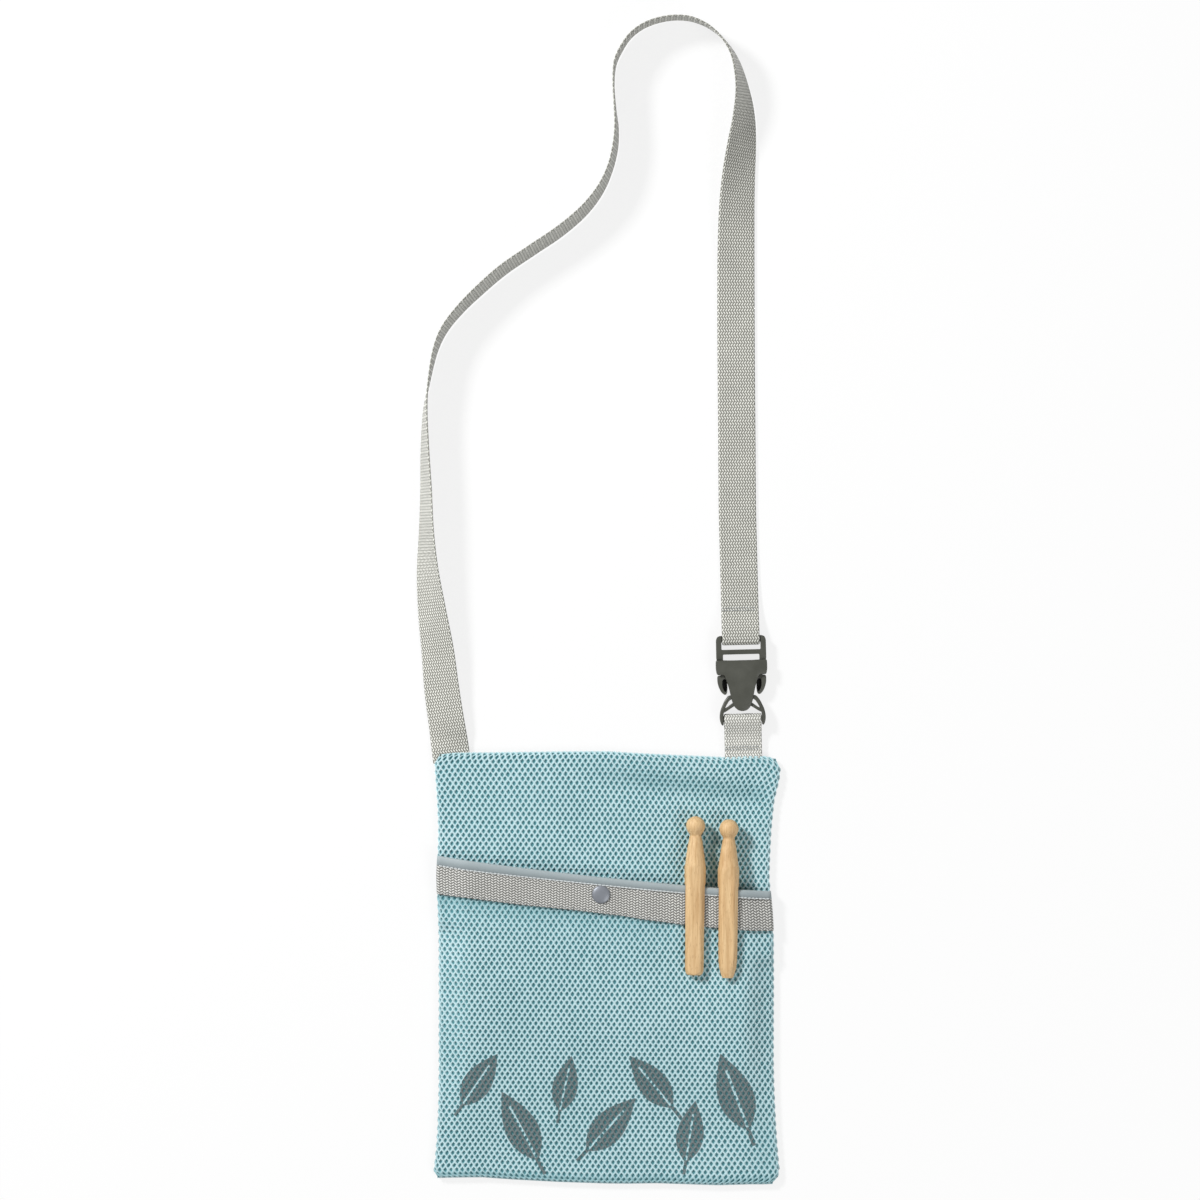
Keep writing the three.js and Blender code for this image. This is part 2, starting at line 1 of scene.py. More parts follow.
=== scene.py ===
# %% [markdown]
# # A mesh peg bag
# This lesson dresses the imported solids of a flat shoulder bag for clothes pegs: light-blue spacer mesh,
# a bound pocket mouth with a webbing band, a press stud, a webbing strap with a side-release buckle,
# and two wooden dolly pegs. The bag lies on its back, so x is across it, y is up it and z is out of
# its front.

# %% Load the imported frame
import math
from functools import partial
import bpy
import numpy as np
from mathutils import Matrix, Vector


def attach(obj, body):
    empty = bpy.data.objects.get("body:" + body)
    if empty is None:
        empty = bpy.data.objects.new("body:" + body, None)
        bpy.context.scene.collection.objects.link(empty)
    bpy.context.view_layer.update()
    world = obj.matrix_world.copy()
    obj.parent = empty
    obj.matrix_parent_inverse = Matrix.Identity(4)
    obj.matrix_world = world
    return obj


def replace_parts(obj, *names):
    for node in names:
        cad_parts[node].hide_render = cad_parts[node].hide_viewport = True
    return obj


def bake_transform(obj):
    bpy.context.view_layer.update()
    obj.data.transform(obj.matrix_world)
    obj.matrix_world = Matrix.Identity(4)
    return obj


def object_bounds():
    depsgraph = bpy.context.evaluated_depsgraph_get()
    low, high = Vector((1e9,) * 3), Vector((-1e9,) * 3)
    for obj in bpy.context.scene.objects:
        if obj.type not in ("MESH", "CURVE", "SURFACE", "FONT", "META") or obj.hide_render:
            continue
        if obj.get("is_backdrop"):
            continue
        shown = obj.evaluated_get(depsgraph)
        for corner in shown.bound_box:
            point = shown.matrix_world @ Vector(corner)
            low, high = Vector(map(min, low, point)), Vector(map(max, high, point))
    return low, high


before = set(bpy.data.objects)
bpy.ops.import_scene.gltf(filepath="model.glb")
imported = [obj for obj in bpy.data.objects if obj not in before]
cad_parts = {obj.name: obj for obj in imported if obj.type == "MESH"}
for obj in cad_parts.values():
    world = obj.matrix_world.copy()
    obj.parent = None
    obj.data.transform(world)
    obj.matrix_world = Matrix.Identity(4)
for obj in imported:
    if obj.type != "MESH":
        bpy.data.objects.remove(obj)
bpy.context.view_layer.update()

MM = 0.001
scene = bpy.context.scene
scene.view_settings.view_transform = "Standard"
print("pieces in the frame:", len(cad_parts))

# %% [markdown]
# ## Camera, floor and light
# The picture was taken from straight above, with the bag turned by about half a degree.
# A long lens far away keeps the edges as straight as they are there.

# %% Camera
CAMERA_HEIGHT = 2.6
VIEW_WIDTH = 0.7896
lens = bpy.data.cameras.new("overhead_camera")
lens.sensor_width = 36
lens.lens = lens.sensor_width * CAMERA_HEIGHT / VIEW_WIDTH
camera = bpy.data.objects.new("overhead_camera", lens)
scene.collection.objects.link(camera)
camera.location = (-0.0068, 0.2415, CAMERA_HEIGHT)
camera.rotation_euler = (0, 0, math.radians(0.6))
scene.camera = camera
print("lens", round(lens.lens, 1), "mm")

# %% [markdown]
# Every material below is built from nodes, so small helpers come first. They add a node with its settings
# and inputs, hand back the result of a sum or a noise, and lead results into a shader.

# %% Helpers for nodes
def add(tree, kind, inputs=None, **settings):
    """A shader node with its settings made and its inputs linked or set."""
    node = tree.nodes.new("ShaderNode" + kind)
    for key, value in settings.items():
        setattr(node, key, value)
    for key, value in (inputs or {}).items():
        if isinstance(value, bpy.types.NodeSocket):
            tree.links.new(value, node.inputs[key])
        else:
            node.inputs[key].default_value = value
    return node


def calc(tree, operation, first, second=0.0, third=0.0):
    """The result of one maths node."""
    return add(tree, "Math", {0: first, 1: second, 2: third}, operation=operation).outputs[0]


def vector(tree, operation, first, second):
    """The result of one vector maths node."""
    return add(tree, "VectorMath", {0: first, 1: second}, operation=operation).outputs[0]


def step_between(tree, value, low, high):
    """0 below low, 1 above high, and smooth between them."""
    inputs = {"Value": value, "From Min": low, "From Max": high}
    return add(tree, "MapRange", inputs, interpolation_type="SMOOTHSTEP").outputs["Result"]


def colour_mix(tree, share, first, second):
    """One colour turning into another. A plain colour is three numbers."""
    ends = [end if isinstance(end, bpy.types.NodeSocket) else (*end, 1) for end in (first, second)]
    return add(tree, "Mix", {"Factor": share, 6: ends[0], 7: ends[1]}, data_type="RGBA").outputs[2]


def own_place(tree):
    """Where a point lies on its piece."""
    return add(tree, "TexCoord").outputs["Object"]


def noise(tree, place, scale, detail=2.0, roughness=0.5):
    inputs = {"Vector": place, "Scale": scale, "Detail": detail, "Roughness": roughness}
    return add(tree, "TexNoise", inputs).outputs[0]


def ribs(tree, scale, distortion, detail=2.0):
    """Fine slanting ribs, 0 to 1."""
    inputs = {"Vector": own_place(tree), "Scale": scale, "Distortion": distortion, "Detail": detail}
    return add(tree, "TexWave", inputs, bands_direction="DIAGONAL").outputs[1]


def new_material(name, **sockets):
    """A material and its Principled shader, with plain numbers set on the shader itself."""
    material = bpy.data.materials.new(name)
    material.use_nodes = True
    shader = material.node_tree.nodes["Principled BSDF"]
    for key, value in sockets.items():
        shader.inputs[key.replace("_", " ")].default_value = value
    return material, material.node_tree, shader


def lead(tree, shader, height=None, strength=0.0, depth=0.0, **results):
    """Results led into a shader, and a bump from a height where there is one."""
    if height is not None:
        inputs = {"Height": height, "Strength": strength, "Distance": depth}
        results["Normal"] = add(tree, "Bump", inputs).outputs[0]
    for key, value in results.items():
        tree.links.new(value, shader.inputs[key.replace("_", " ")])


print("node helpers ready")

# %% [markdown]
# The floor is white paper. Most of its brightness for the camera comes from a plain white glow,
# so it stays white without flooding the bag with light, and the rest is lit paper, which keeps the shadow.

# %% Floor
FLOOR_Z = -0.0006
GLOW_SHARE = 0.8
bpy.ops.object.select_all(action="DESELECT")
bpy.ops.mesh.primitive_plane_add(size=9, location=(0, 0.2, FLOOR_Z))
floor = bpy.context.object
floor.name = "paper_floor"
paper, tree, shader = new_material("white_paper", Base_Color=(0.9, 0.9, 0.9, 1), Roughness=0.9,
                                   Specular_IOR_Level=0.1)
path = add(tree, "LightPath").outputs
seen = calc(tree, "MAXIMUM", path["Is Camera Ray"], path["Is Glossy Ray"])
glow = add(tree, "Emission", {"Color": (1, 1, 1, 1), "Strength": 1.0}).outputs[0]
both = add(tree, "MixShader", {0: calc(tree, "MULTIPLY", seen, GLOW_SHARE), 1: shader.outputs[0], 2: glow})
tree.links.new(both.outputs[0], tree.nodes["Material Output"].inputs["Surface"])
floor.data.materials.append(paper)
floor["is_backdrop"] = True
print("floor", floor.name)

# %% [markdown]
# The light comes from the top left, from one soft box that is small enough for the pegs to throw shadows.
# A larger and weaker one opposite, and a plain white world, keep those shadows open.

# %% Lamps and world
AIM = (0, 0.2, 0)


def soft_lamp(name, place, size, watts):
    """A square soft box that points at the bag."""
    data = bpy.data.lights.new(name, "AREA")
    data.size, data.energy = size, watts
    lamp = bpy.data.objects.new(name, data)
    scene.collection.objects.link(lamp)
    lamp.location = place
    way = Vector([a - b for a, b in zip(AIM, place)])
    lamp.rotation_euler = way.to_track_quat("-Z", "Y").to_euler()


soft_lamp("key_soft_box", (-1.45, 1.4, 1.45), 0.4, 55)
soft_lamp("fill_soft_box", (1.35, -1.05, 1.75), 1.2, 20)
scene.world = bpy.data.worlds.new("studio")
scene.world.use_nodes = True
sky = scene.world.node_tree.nodes["Background"].inputs
sky["Color"].default_value = (1, 1, 1, 1)
sky["Strength"].default_value = 0.31

# %% [markdown]
# ## The strap
# The strap is one flat cord, 25 mm wide. It leaves the seam at the top left, twists until it stands on its
# edge round the loop, lies flat again on the way down and folds round the buckle's top bar.
# Its route is the solid's own route: across the floor, with how far the webbing leans at each point.

# %% Smooth lines and the buckle's own axes
HALF_HEIGHT = 140.0
BUCKLE_X = 88.6
TILT = math.radians(2)
BUCKLE_ACROSS = np.array([-math.cos(TILT), -math.sin(TILT), 0])


def smooth(t):
    t = np.clip(t, 0, 1)
    return t * t * (3 - 2 * t)


def unit(rows):
    return rows / np.linalg.norm(rows, axis=-1, keepdims=True)


def flowing(points, steps):
    """A smooth line through rows of numbers, with the same knots as the part's source."""
    p = np.asarray(points, float)
    p = np.vstack([2 * p[0] - p[1], p, 2 * p[-1] - p[-2]])
    t = np.linspace(0, 1, steps, endpoint=False)[:, None]
    out = []
    for p0, p1, p2, p3 in zip(p, p[1:], p[2:], p[3:]):
        a, b, c = (max(np.linalg.norm(k), 1e-6) ** 0.5 for k in (p1 - p0, p2 - p1, p3 - p2))
        m1 = b * ((p1 - p0) / a - (p2 - p0) / (a + b) + (p2 - p1) / b)
        m2 = b * ((p2 - p1) / b - (p3 - p1) / (b + c) + (p3 - p2) / c)
        squared = 3 * (p2 - p1) - 2 * m1 - m2
        out.append(p1 + m1 * t + squared * t**2 + (2 * (p1 - p2) + m1 + m2) * t**3)
    return np.vstack(out + [p[-2:-1]])


def at_buckle(u, v, z):
    """A point given across, up and above the buckle, in the bag's frame, in millimetres."""
    u, v, z = np.broadcast_arrays(np.asarray(u, float), v, z)
    return np.stack([BUCKLE_X + u * math.cos(TILT) - v * math.sin(TILT),
                     HALF_HEIGHT + u * math.sin(TILT) + v * math.cos(TILT), z], axis=-1)


def folded(points, steps):
    """Middle line and ways of webbing that folds in the buckle's plane, through points (up, height)."""
    line = flowing(points, steps)
    middle = at_buckle(0, line[:, 0], line[:, 1])
    across = np.tile(BUCKLE_ACROSS, (len(middle), 1))
    return middle, across, unit(np.cross(across, np.gradient(middle, axis=0)))


print("buckle stands at", at_buckle(0, 0, 0))

# %% The strap's route
ROUTE = [
    (-106, 15, 12), (-110, 41, 19), (-113, 67, 28), (-117, 94, 40), (-120, 120, 53), (-121, 146, 65),
    (-121.5, 173, 71), (-122.5, 199, 76), (-122.5, 225, 83), (-121, 239, 88), (-116, 265, 94),
    (-110.3, 278, 97), (-100.3, 291, 99), (-87.8, 303.6, 101), (-72.6, 317, 102), (-54, 330, 102),
    (-34.6, 343.5, 102), (-19.3, 357.2, 101), (-9.3, 370.6, 99), (-3.2, 384.3, 97), (0, 398, 97),
    (0.8, 411, 95), (-0.4, 425, 92), (-1.5, 441, 91), (-0.4, 454, 92), (3.6, 463, 92), (9.4, 471.4, 91),
    (19, 478.4, 90), (33.2, 482.8, 89), (47.2, 482.9, 88), (58.6, 478.9, 86), (66.9, 472.9, 84),
    (73.1, 465.8, 82), (77.3, 458.6, 79), (80.5, 449.4, 74), (82.8, 439, 68), (84.1, 428, 59),
    (84.2, 415, 49), (83, 400, 38), (81.5, 384, 29), (80.5, 366, 20), (80.2, 346, 12), (80.3, 320, 5),
    (81, 267, 0), (82, 214, 0), (83, 160, 0),
]
FOLD = [
    (132, 0.95), (112, 1.3), (104, 1.9), (97, 2.65), (89, 4.6), (82.4, 6.9), (79.2, 7.35), (76.1, 7.35),
    (74.4, 6.8), (73.65, 5.6), (73.6, 4.7), (73.65, 3.8), (74.4, 2.6), (76.1, 2.05), (79.2, 2), (85, 1.45),
    (91, 1.05), (96, 0.95),
]
STEPS = 12
STRAP_WIDTH = 25.0
STRAP_THICK = 1.3
FLOOR_GAP = 0.3
SEWN_Z = 2.65
start = [(-103.1, 134.5, 0), (-103.6, 138.2, 0), (-104.1, 142, 0)]
end = [(*at_buckle(0, v, 0)[:2], 0) for v in (132, 112)]
route = start + [(x, HALF_HEIGHT + up, lean) for x, up, lean in ROUTE] + end
line = flowing(route, STEPS)[:STEPS * (len(route) - 2)]
along = unit(np.gradient(line[:, :2], axis=0))
lean = np.radians(np.maximum(0, line[:, 2]))
across = np.stack([along[:, 1] * np.cos(lean), -along[:, 0] * np.cos(lean), np.sin(lean)], axis=1)
rest = STRAP_WIDTH / 2 * np.sin(lean) + STRAP_THICK / 2 * np.abs(np.cos(lean)) + FLOOR_GAP
lift = np.maximum(0, (SEWN_Z - rest) * (1 - smooth((line[:, 1] - 143) / 26)))
middle = np.column_stack([line[:, :2], rest + lift])
out = unit(np.cross(across, np.column_stack([along, np.zeros(len(along))])))
strap_line = [np.vstack(pair) for pair in zip((middle, across, out), folded(FOLD, 8))]

# %% [markdown]
# Webbing shows rows of small long knots, fourteen to a row, which lean one way in one row and the other way
# in the next. They are modelled: the middle of every knot stands proud of the gaps round it, so the strap
# sparkles from any side. A UV map counts knots along and columns across, and the material draws the finer
# threads on it.

# %% Webbing in relief
COLUMNS = 14
KNOT = 1.915
PROUD = np.array([(0.85, 0.93), (0.87, 1.0)])  # shares of half the thickness, a knot's middle last
EDGE_PROUD = 0.3


def cloth_piece(name, points, faces, uv=None):
    """A new object from points in millimetres, with one uv for each point."""
    data = bpy.data.meshes.new(name)
    data.from_pydata((np.asarray(points) * MM).tolist(), [], faces)
    if uv is not None:
        corners = np.empty(len(data.loops), dtype=np.int32)
        data.loops.foreach_get("vertex_index", corners)
        layer = data.uv_layers.new(name="cloth")
        layer.data.foreach_set("uv", np.asarray(uv, dtype=np.float32)[corners].ravel())
    data.shade_smooth()
    piece = bpy.data.objects.new(name, data)
    scene.collection.objects.link(piece)
    return piece


def note(piece, name, values):
    """A number for each point of a piece, for its material to read."""
    layer = piece.data.attributes.new(name, "FLOAT", "POINT")
    layer.data.foreach_set("value", np.asarray(values, dtype=np.float32))


def quads(*corners):
    return np.stack(corners, axis=-1).reshape(-1, 4).tolist()


def slab_faces(rows, columns):
    """Faces of a closed slab: a grid on top, the same grid under it, and its four rims."""
    top = np.arange(rows * columns).reshape(rows, columns)
    low = top + rows * columns
    return (quads(top[:-1, :-1], top[:-1, 1:], top[1:, 1:], top[1:, :-1])
            + quads(low[:-1, :-1], low[1:, :-1], low[1:, 1:], low[:-1, 1:])
            + quads(top[:-1, 0], top[1:, 0], low[1:, 0], low[:-1, 0])
            + quads(top[:-1, -1], low[:-1, -1], low[1:, -1], top[1:, -1])
            + quads(top[0, :-1], low[0, :-1], low[0, 1:], top[0, 1:])
            + quads(top[-1, :-1], top[-1, 1:], low[-1, 1:], low[-1, :-1]))


def webbing(name, middle, out, thickness):
    """Woven tape round a grid of points on its middle surface. Columns run along it and rows across."""
    rows, columns = middle.shape[:2]
    r, k = np.meshgrid(np.arange(rows), np.arange(columns), indexing="ij")
    proud = PROUD[k % 2, r % 2]
    proud[:, [0, -1]] = EDGE_PROUD
    half = out * thickness / 2 * proud[..., None]
    points = np.concatenate([(middle + half).reshape(-1, 3), (middle - half).reshape(-1, 3)])
    uv = np.tile(np.stack([r, k], axis=-1).reshape(-1, 2) / 2, (2, 1))
    return cloth_piece(name, points, slab_faces(rows, columns), uv)


def ribbon(name, middle, across, out, width, thickness):
    """Webbing along a line, with its rows evenly spaced."""
    travel = np.concatenate([[0], np.cumsum(np.linalg.norm(np.diff(middle, axis=0), axis=1))])
    at = np.linspace(0, travel[-1], int(round(travel[-1] / KNOT * 2)) + 1)
    middle, across, out = (np.stack([np.interp(at, travel, rows[:, i]) for i in range(3)], axis=1)
                           for rows in (middle, across, out))
    shift = np.linspace(-0.5, 0.5, 2 * COLUMNS + 1) * width
    grid = middle[:, None] + unit(across)[:, None] * shift[None, :, None]
    return webbing(name, grid, np.broadcast_to(unit(out)[:, None], grid.shape), thickness)


strap = ribbon("webbing_strap", *strap_line, width=24.5, thickness=STRAP_THICK)
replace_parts(strap, "shoulder_strap")
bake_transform(strap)
print("strap faces", len(strap.data.polygons))

# %% [markdown]
# The webbing's colour is a warm light grey that goes darker between the knots. The node group below works
# out from the UV map where the knots are, and how the fine threads run over each of them.

# %% Woven knots
def new_group(name, inputs, outputs):
    """An empty node group with named sockets."""
    group = bpy.data.node_groups.new(name, "ShaderNodeTree")
    for in_out, sockets in (("INPUT", inputs), ("OUTPUT", outputs)):
        for label, kind in sockets.items():
            group.interface.new_socket(label, in_out=in_out, socket_type="NodeSocket" + kind)
    return group, group.nodes.new("NodeGroupInput").outputs, group.nodes.new("NodeGroupOutput").inputs


def placed(tree, group, inputs):
    """The results of a node group placed in a material."""
    return add(tree, "Group", inputs, node_tree=group).outputs


knots, given, gives = new_group("woven knots", {"Place": "Vector"}, {"Knot": "Float", "Thread": "Float"})
do = partial(calc, knots)
place = add(knots, "SeparateXYZ", {0: given["Place"]}).outputs
odd = do("MODULO", do("FLOOR", place[0]), 2.0)
length = do("SUBTRACT", do("FRACT", place[0]), 0.5)
slant = do("MULTIPLY", do("ADD", length, 0.3), do("MULTIPLY_ADD", odd, 1.1, -0.55))
side = do("SUBTRACT", do("FRACT", do("ADD", place[1], slant)), 0.5)
far = do("ADD", do("MULTIPLY", do("MULTIPLY", length, length), 0.72),
         do("MULTIPLY", do("MULTIPLY", side, side), 2.1))
knots.links.new(step_between(knots, far, 0.27, 0.03), gives["Knot"])
thread = do("SINE", do("MULTIPLY", do("ADD", side, do("MULTIPLY", length, 0.25)), 38.0))
knots.links.new(do("MULTIPLY_ADD", thread, 0.5, 0.5), gives["Thread"])
print("group", knots.name)

# %% Webbing material
def webbing_material(name, light, gap):
    """Light knots and dark gaps, with fine threads, flecks and a little soil."""
    material, tree, shader = new_material(name, Roughness=0.72, Sheen_Weight=0.4)
    weave = placed(tree, knots, {"Place": add(tree, "UVMap", uv_map="cloth").outputs[0]})
    body = own_place(tree)
    soil = calc(tree, "MULTIPLY_ADD", noise(tree, body, 55.0, 3.0), 0.24, 0.69)
    tone = calc(tree, "MULTIPLY_ADD", noise(tree, body, 900.0), 0.34, soil)
    tone = calc(tree, "MULTIPLY_ADD", weave["Thread"], 0.08, tone)
    tinted = vector(tree, "MULTIPLY", colour_mix(tree, weave["Knot"], gap, light), tone)
    lead(tree, shader, Base_Color=tinted,
         height=calc(tree, "MULTIPLY_ADD", weave["Thread"], 0.16, weave["Knot"]), strength=0.28, depth=0.0004)
    return material


grey_webbing = webbing_material("grey_webbing", (0.82, 0.82, 0.76), (0.17, 0.17, 0.145))
strap.data.materials.append(grey_webbing)
print("material", grey_webbing.name)

# %% [markdown]
# ## The bag's own surfaces
# The bag is a little narrower at its waist than at its ends. The pocket front bellies out over the pegs
# inside, and its cloth turns under at every edge. These sums repeat the solid's, so each layer lies where
# the solid is.

# %% Surfaces of the bag
ROLL = 2.6
CORNER = 8.0
WAIST_HALF = 110.3
BELLY_Z = 11.25
UPPER_Z = 5.3


def side_x(y):
    return WAIST_HALF + 3.5 * (np.maximum(0, np.abs(y) - 60) / 80) ** 2


def half_x(y):
    """Half the bag's width, with its corners rounded."""
    left = np.clip(HALF_HEIGHT - np.abs(y), 0, CORNER)
    return side_x(y) - (CORNER - np.sqrt(CORNER**2 - (CORNER - left) ** 2))


def mouth_y(x):
    return 58.9 - 0.0953 * x + 0.000208 * x * x


def seam_z(below):
    """How high the pocket's side seam lies, at a distance below the mouth."""
    return 6.4 - 3.6 * smooth((below - 39) / 12)


def pocket_inner(x, y):
    below = mouth_y(x) - y
    rise = smooth((side_x(y) - np.abs(x)) / 22)
    fall = 1 - smooth((below - 72) / (mouth_y(x) + HALF_HEIGHT - 72))
    return seam_z(below) + (BELLY_Z - seam_z(below)) * rise * fall


def pocket_thickness(x, y):
    return 1.3 + 1.2 * smooth((mouth_y(x) - y - 25.5) / 7)


def bell(t):
    return np.exp(-(t**2))


def spot(x, y, at_x, at_y, wide, tall):
    return np.exp(-(((x - at_x) / wide) ** 2) - ((y - at_y) / tall) ** 2)


def dents(x, y):
    """Soft dents, deepest towards the top right, that fade out at the edges."""
    wave = 0.5 * np.sin(0.055 * x + 0.02 * y) * np.sin(0.043 * y - 0.012 * x + 0.6)
    crease = -1.9 * bell((y - 115 + 0.1 * (x - 50)) / 9) * smooth((x + 8) / 40)
    inside = smooth((side_x(y) - np.abs(x)) / 18)
    return (wave + crease) * inside * smooth((HALF_HEIGHT - np.abs(y)) / 16)


print("waist", 2 * side_x(0.0), "mm, ends", 2 * side_x(HALF_HEIGHT), "mm")

# %% [markdown]
# A face of the bag is a flat sheet whose edges turn under. Sewn cloth isn't quite straight either, so the
# edges draw in and out by a millimetre or two, as they do in the picture.

# %% Faces with turned edges
LONGEST = HALF_HEIGHT - ROLL + ROLL * math.pi / 2
HEIGHTS = [-140, -130, -110, -60, -10, 20, 36, 60, 90, 112, 126, 140]
RIGHT_SLACK = [0.8, 2.2, 1.6, 0.4, 0, -0.4, -1.4, -3.6, -3.2, -2.4, -0.2, 0.3]
LEFT_SLACK = [0, 1.2, 1.3, 0.5, 0, -0.4, -1.2, -2.2, -1.0, -1.2, -1.4, -1.4]
WIDTHS = [-112, -100, -80, -60, -30, 0, 15, 35, 60, 75, 95, 104, 112]
TOP_SLACK = [-1.0, 0.6, 0.8, 1.3, 2.0, 2.4, 1.6, 0.7, 0, -0.6, 0.6, 0.1, -2.4]
FOOT_SLACK = [0.4, 0.8, 1.2, 0, -1.3, -2.0, -2.0, -1.5, -2.1, -2.4, -1.6, -1.5, -1.0]
# Patches of painted shade and painted light on the net: share (darker above 0, lighter below 0), x, y, width
# and height.
PAINTED_SHADE_PATCHES = [(0.12, -50, 112, 30, 14), (-0.14, -5, 84, 28, 16), (0.12, -100, -30, 12, 35),
           (0.22, 104, -118, 12, 24), (-0.08, 0, -112, 60, 14)]


def slack(points):
    """Points moved with the edges of the sewn cloth."""
    x, y = points[:, 0], points[:, 1]
    drawn = points.copy()
    drawn[:, 0] += np.interp(y, HEIGHTS, RIGHT_SLACK) * smooth((x - 35) / 75)
    drawn[:, 0] += np.interp(y, HEIGHTS, LEFT_SLACK) * smooth((-x - 35) / 75)
    drawn[:, 1] += np.interp(x, WIDTHS, TOP_SLACK) * smooth((y - 80) / 60)
    drawn[:, 1] += np.interp(x, WIDTHS, FOOT_SLACK) * smooth((-y - 80) / 60)
    return drawn


def turned(distance, straight):
    """How far out cloth gets when its edge turns under, and the angle it has turned through."""
    angle = np.clip((distance - straight) / ROLL, 0, math.pi / 2)
    return np.minimum(distance, straight) + ROLL * np.sin(angle), angle


def faced(top):
    """A face of the bag: share of the width and distance up the cloth go in, points come out."""
    def face(share, up):
        far, end = turned(np.abs(up), HALF_HEIGHT - ROLL)
        y = np.sign(up) * far
        straight = half_x(np.clip(y, 1 - HALF_HEIGHT, HALF_HEIGHT - 1)) - ROLL
        wide, edge = turned(np.abs(share) * (straight + ROLL * math.pi / 2), straight)
        x = np.sign(share) * wide
        return np.stack([x, y, top(x, y, ROLL * (1 - np.cos(edge) * np.cos(end)))], axis=-1)
    return face


def pocket_top(x, y, drop):
    """The pocket's outer face. Its edge reaches down over the underlap, and below that to the back."""
    below = mouth_y(x) - y
    thick = pocket_thickness(x, y)
    deep = seam_z(below) + thick - 4.1 + 2.2 * smooth((below - 33) / 4)
    hollow = bell((below - 32) / 6) + 1.4 * spot(x, y, 70, 6, 26, 16)
    return pocket_inner(x, y) + thick + 0.6 * dents(x, y + 60) - hollow - drop * deep / ROLL


upper_face = faced(lambda x, y, drop: UPPER_Z + dents(x, y) - drop)
pocket_face = faced(pocket_top)
back_face = faced(lambda x, y, drop: drop)


def under(face, share, up, depth, way):
    """Points at a depth under a face. The way is 1 for a face in front and -1 for the back."""
    right = face(np.minimum(share + 2e-3, 1), up) - face(np.maximum(share - 2e-3, -1), up)
    upward = face(share, np.minimum(up + 0.2, LONGEST)) - face(share, np.maximum(up - 0.2, -LONGEST))
    return face(share, up) - way * unit(np.cross(right, upward)) * depth


def painted_net_shade(x, y):
    """Painted shade on the net: darker in the crease, below the band and along the bottom seam, with patches
    painted darker or lighter.
    """
    # Painted shade in the crease, below the band's lower edge and along the bottom seam.
    crease = 0.45 * bell((y - 121 + 0.1 * (x - 50)) / 7) * smooth((x + 30) / 60) * smooth((112 - x) / 16)
    below = mouth_y(x) - y
    shade_below_band = (0.46 + 0.2 * smooth(-x / 90)) * np.exp(-np.maximum(below - 26, 0) / 9)
    shade_below_band = shade_below_band * (below > 20) * smooth((60 - x) / 30)
    seam_shade = 0.7 * bell((y + 137) / 2.0)
    painted_patches = sum(share * spot(x, y, *where) for share, *where in PAINTED_SHADE_PATCHES)
    return np.clip(crease + shade_below_band + seam_shade + painted_patches, -0.15, 0.75)


print("cloth up the bag", round(2 * LONGEST, 1), "mm")

# %% [markdown]
# ## Spacer mesh
# Spacer mesh is two knitted faces held apart by fine threads. Its outer face is a net with tall oval holes
# in staggered rows, and the teal inner face shows at the bottom of each hole. A bump map can't show that
# depth from the side, so the net is real: every cell is a ring from the ridge of its threads to a hole with
# a wall. Under it lies a thin closed sheet of cloth, which is the inner face.

# %% Net and ground cloth
PITCH_Y = 2.8
NET_COLUMNS = 61
RIM = np.array([(0, -0.8), (0.5, -0.2), (0.5, 0), (0.5, 0.2), (0, 0.8), (-0.5, 0.2), (-0.5, 0), (-0.5, -0.2)])
HOLE = np.array([(0, -0.54), (0.18, -0.29), (0.262, 0), (0.18, 0.29), (0, 0.54), (-0.18, 0.29), (-0.262, 0),
                 (-0.18, -0.29)])
GRID = 40  # corners are matched in fortieths of a cell
HOLE_DEPTH = 0.62
WALL_DEPTH = 1.3
GROUND_DEPTHS = (1.25, 1.7)
chance = np.random.default_rng(11)


def net(name, face, high, low, keep, way=1, walls=True):
    """The outer face of the mesh between two heights, where keep says that there is cloth."""
    rows = int((high - low) / PITCH_Y)
    centre = np.array([(k + 0.5 + j % 2 / 2, 0.8 + j)
                       for j in range(rows) for k in range(NET_COLUMNS - j % 2)])

    def laid(uv, depth):
        up = np.clip(high - uv[..., 1] * PITCH_Y, low, high)
        return under(face, 2 * uv[..., 0] / NET_COLUMNS - 1, up, depth, way)

    spots = laid(centre, 0.0)
    centre = centre[keep(spots[:, 0], spots[:, 1])]
    count = len(centre)
    grid = np.round((centre[:, None] + RIM) * GRID).astype(int)
    corners, index = np.unique(grid.reshape(-1, 2), axis=0, return_inverse=True)
    size = 1 + chance.normal(0, 0.05, (count, 1, 1))
    shift = chance.normal(0, 0.018, (count, 1, 2))
    first = len(corners) + np.arange(8 * count).reshape(count, 8)
    layers = [laid(corners / GRID, 0.0)]
    rings = [index.reshape(count, 8)]
    for part, depth in ((1, HOLE_DEPTH), (0.86, WALL_DEPTH))[:2 if walls else 1]:
        layers.append(laid((centre[:, None] + HOLE * size * part + shift).reshape(-1, 2), depth))
        rings.append(first + 8 * count * (len(rings) - 1))
    faces = []
    for a, b in zip(rings, rings[1:]):
        around = [a, b, np.roll(b, -1, 1), np.roll(a, -1, 1)]
        faces += quads(*around[::way])
    points = np.concatenate(layers)
    piece = cloth_piece(name, slack(points), faces, points[:, :2] / 10)
    # Painted shade down each hole: light on the threads' ridge, darker at the hole's edge, darkest at the
    # wall's foot, times the net's painted shade.
    painted_crest_shade = np.concatenate([np.full(len(layer), tone) for layer, tone in zip(layers, (1.0, 0.3, 0.0))])
    note(piece, "painted_crest_shade", np.clip(painted_crest_shade * (1 - painted_net_shade(points[:, 0], points[:, 1])), 0, 1))
    return piece


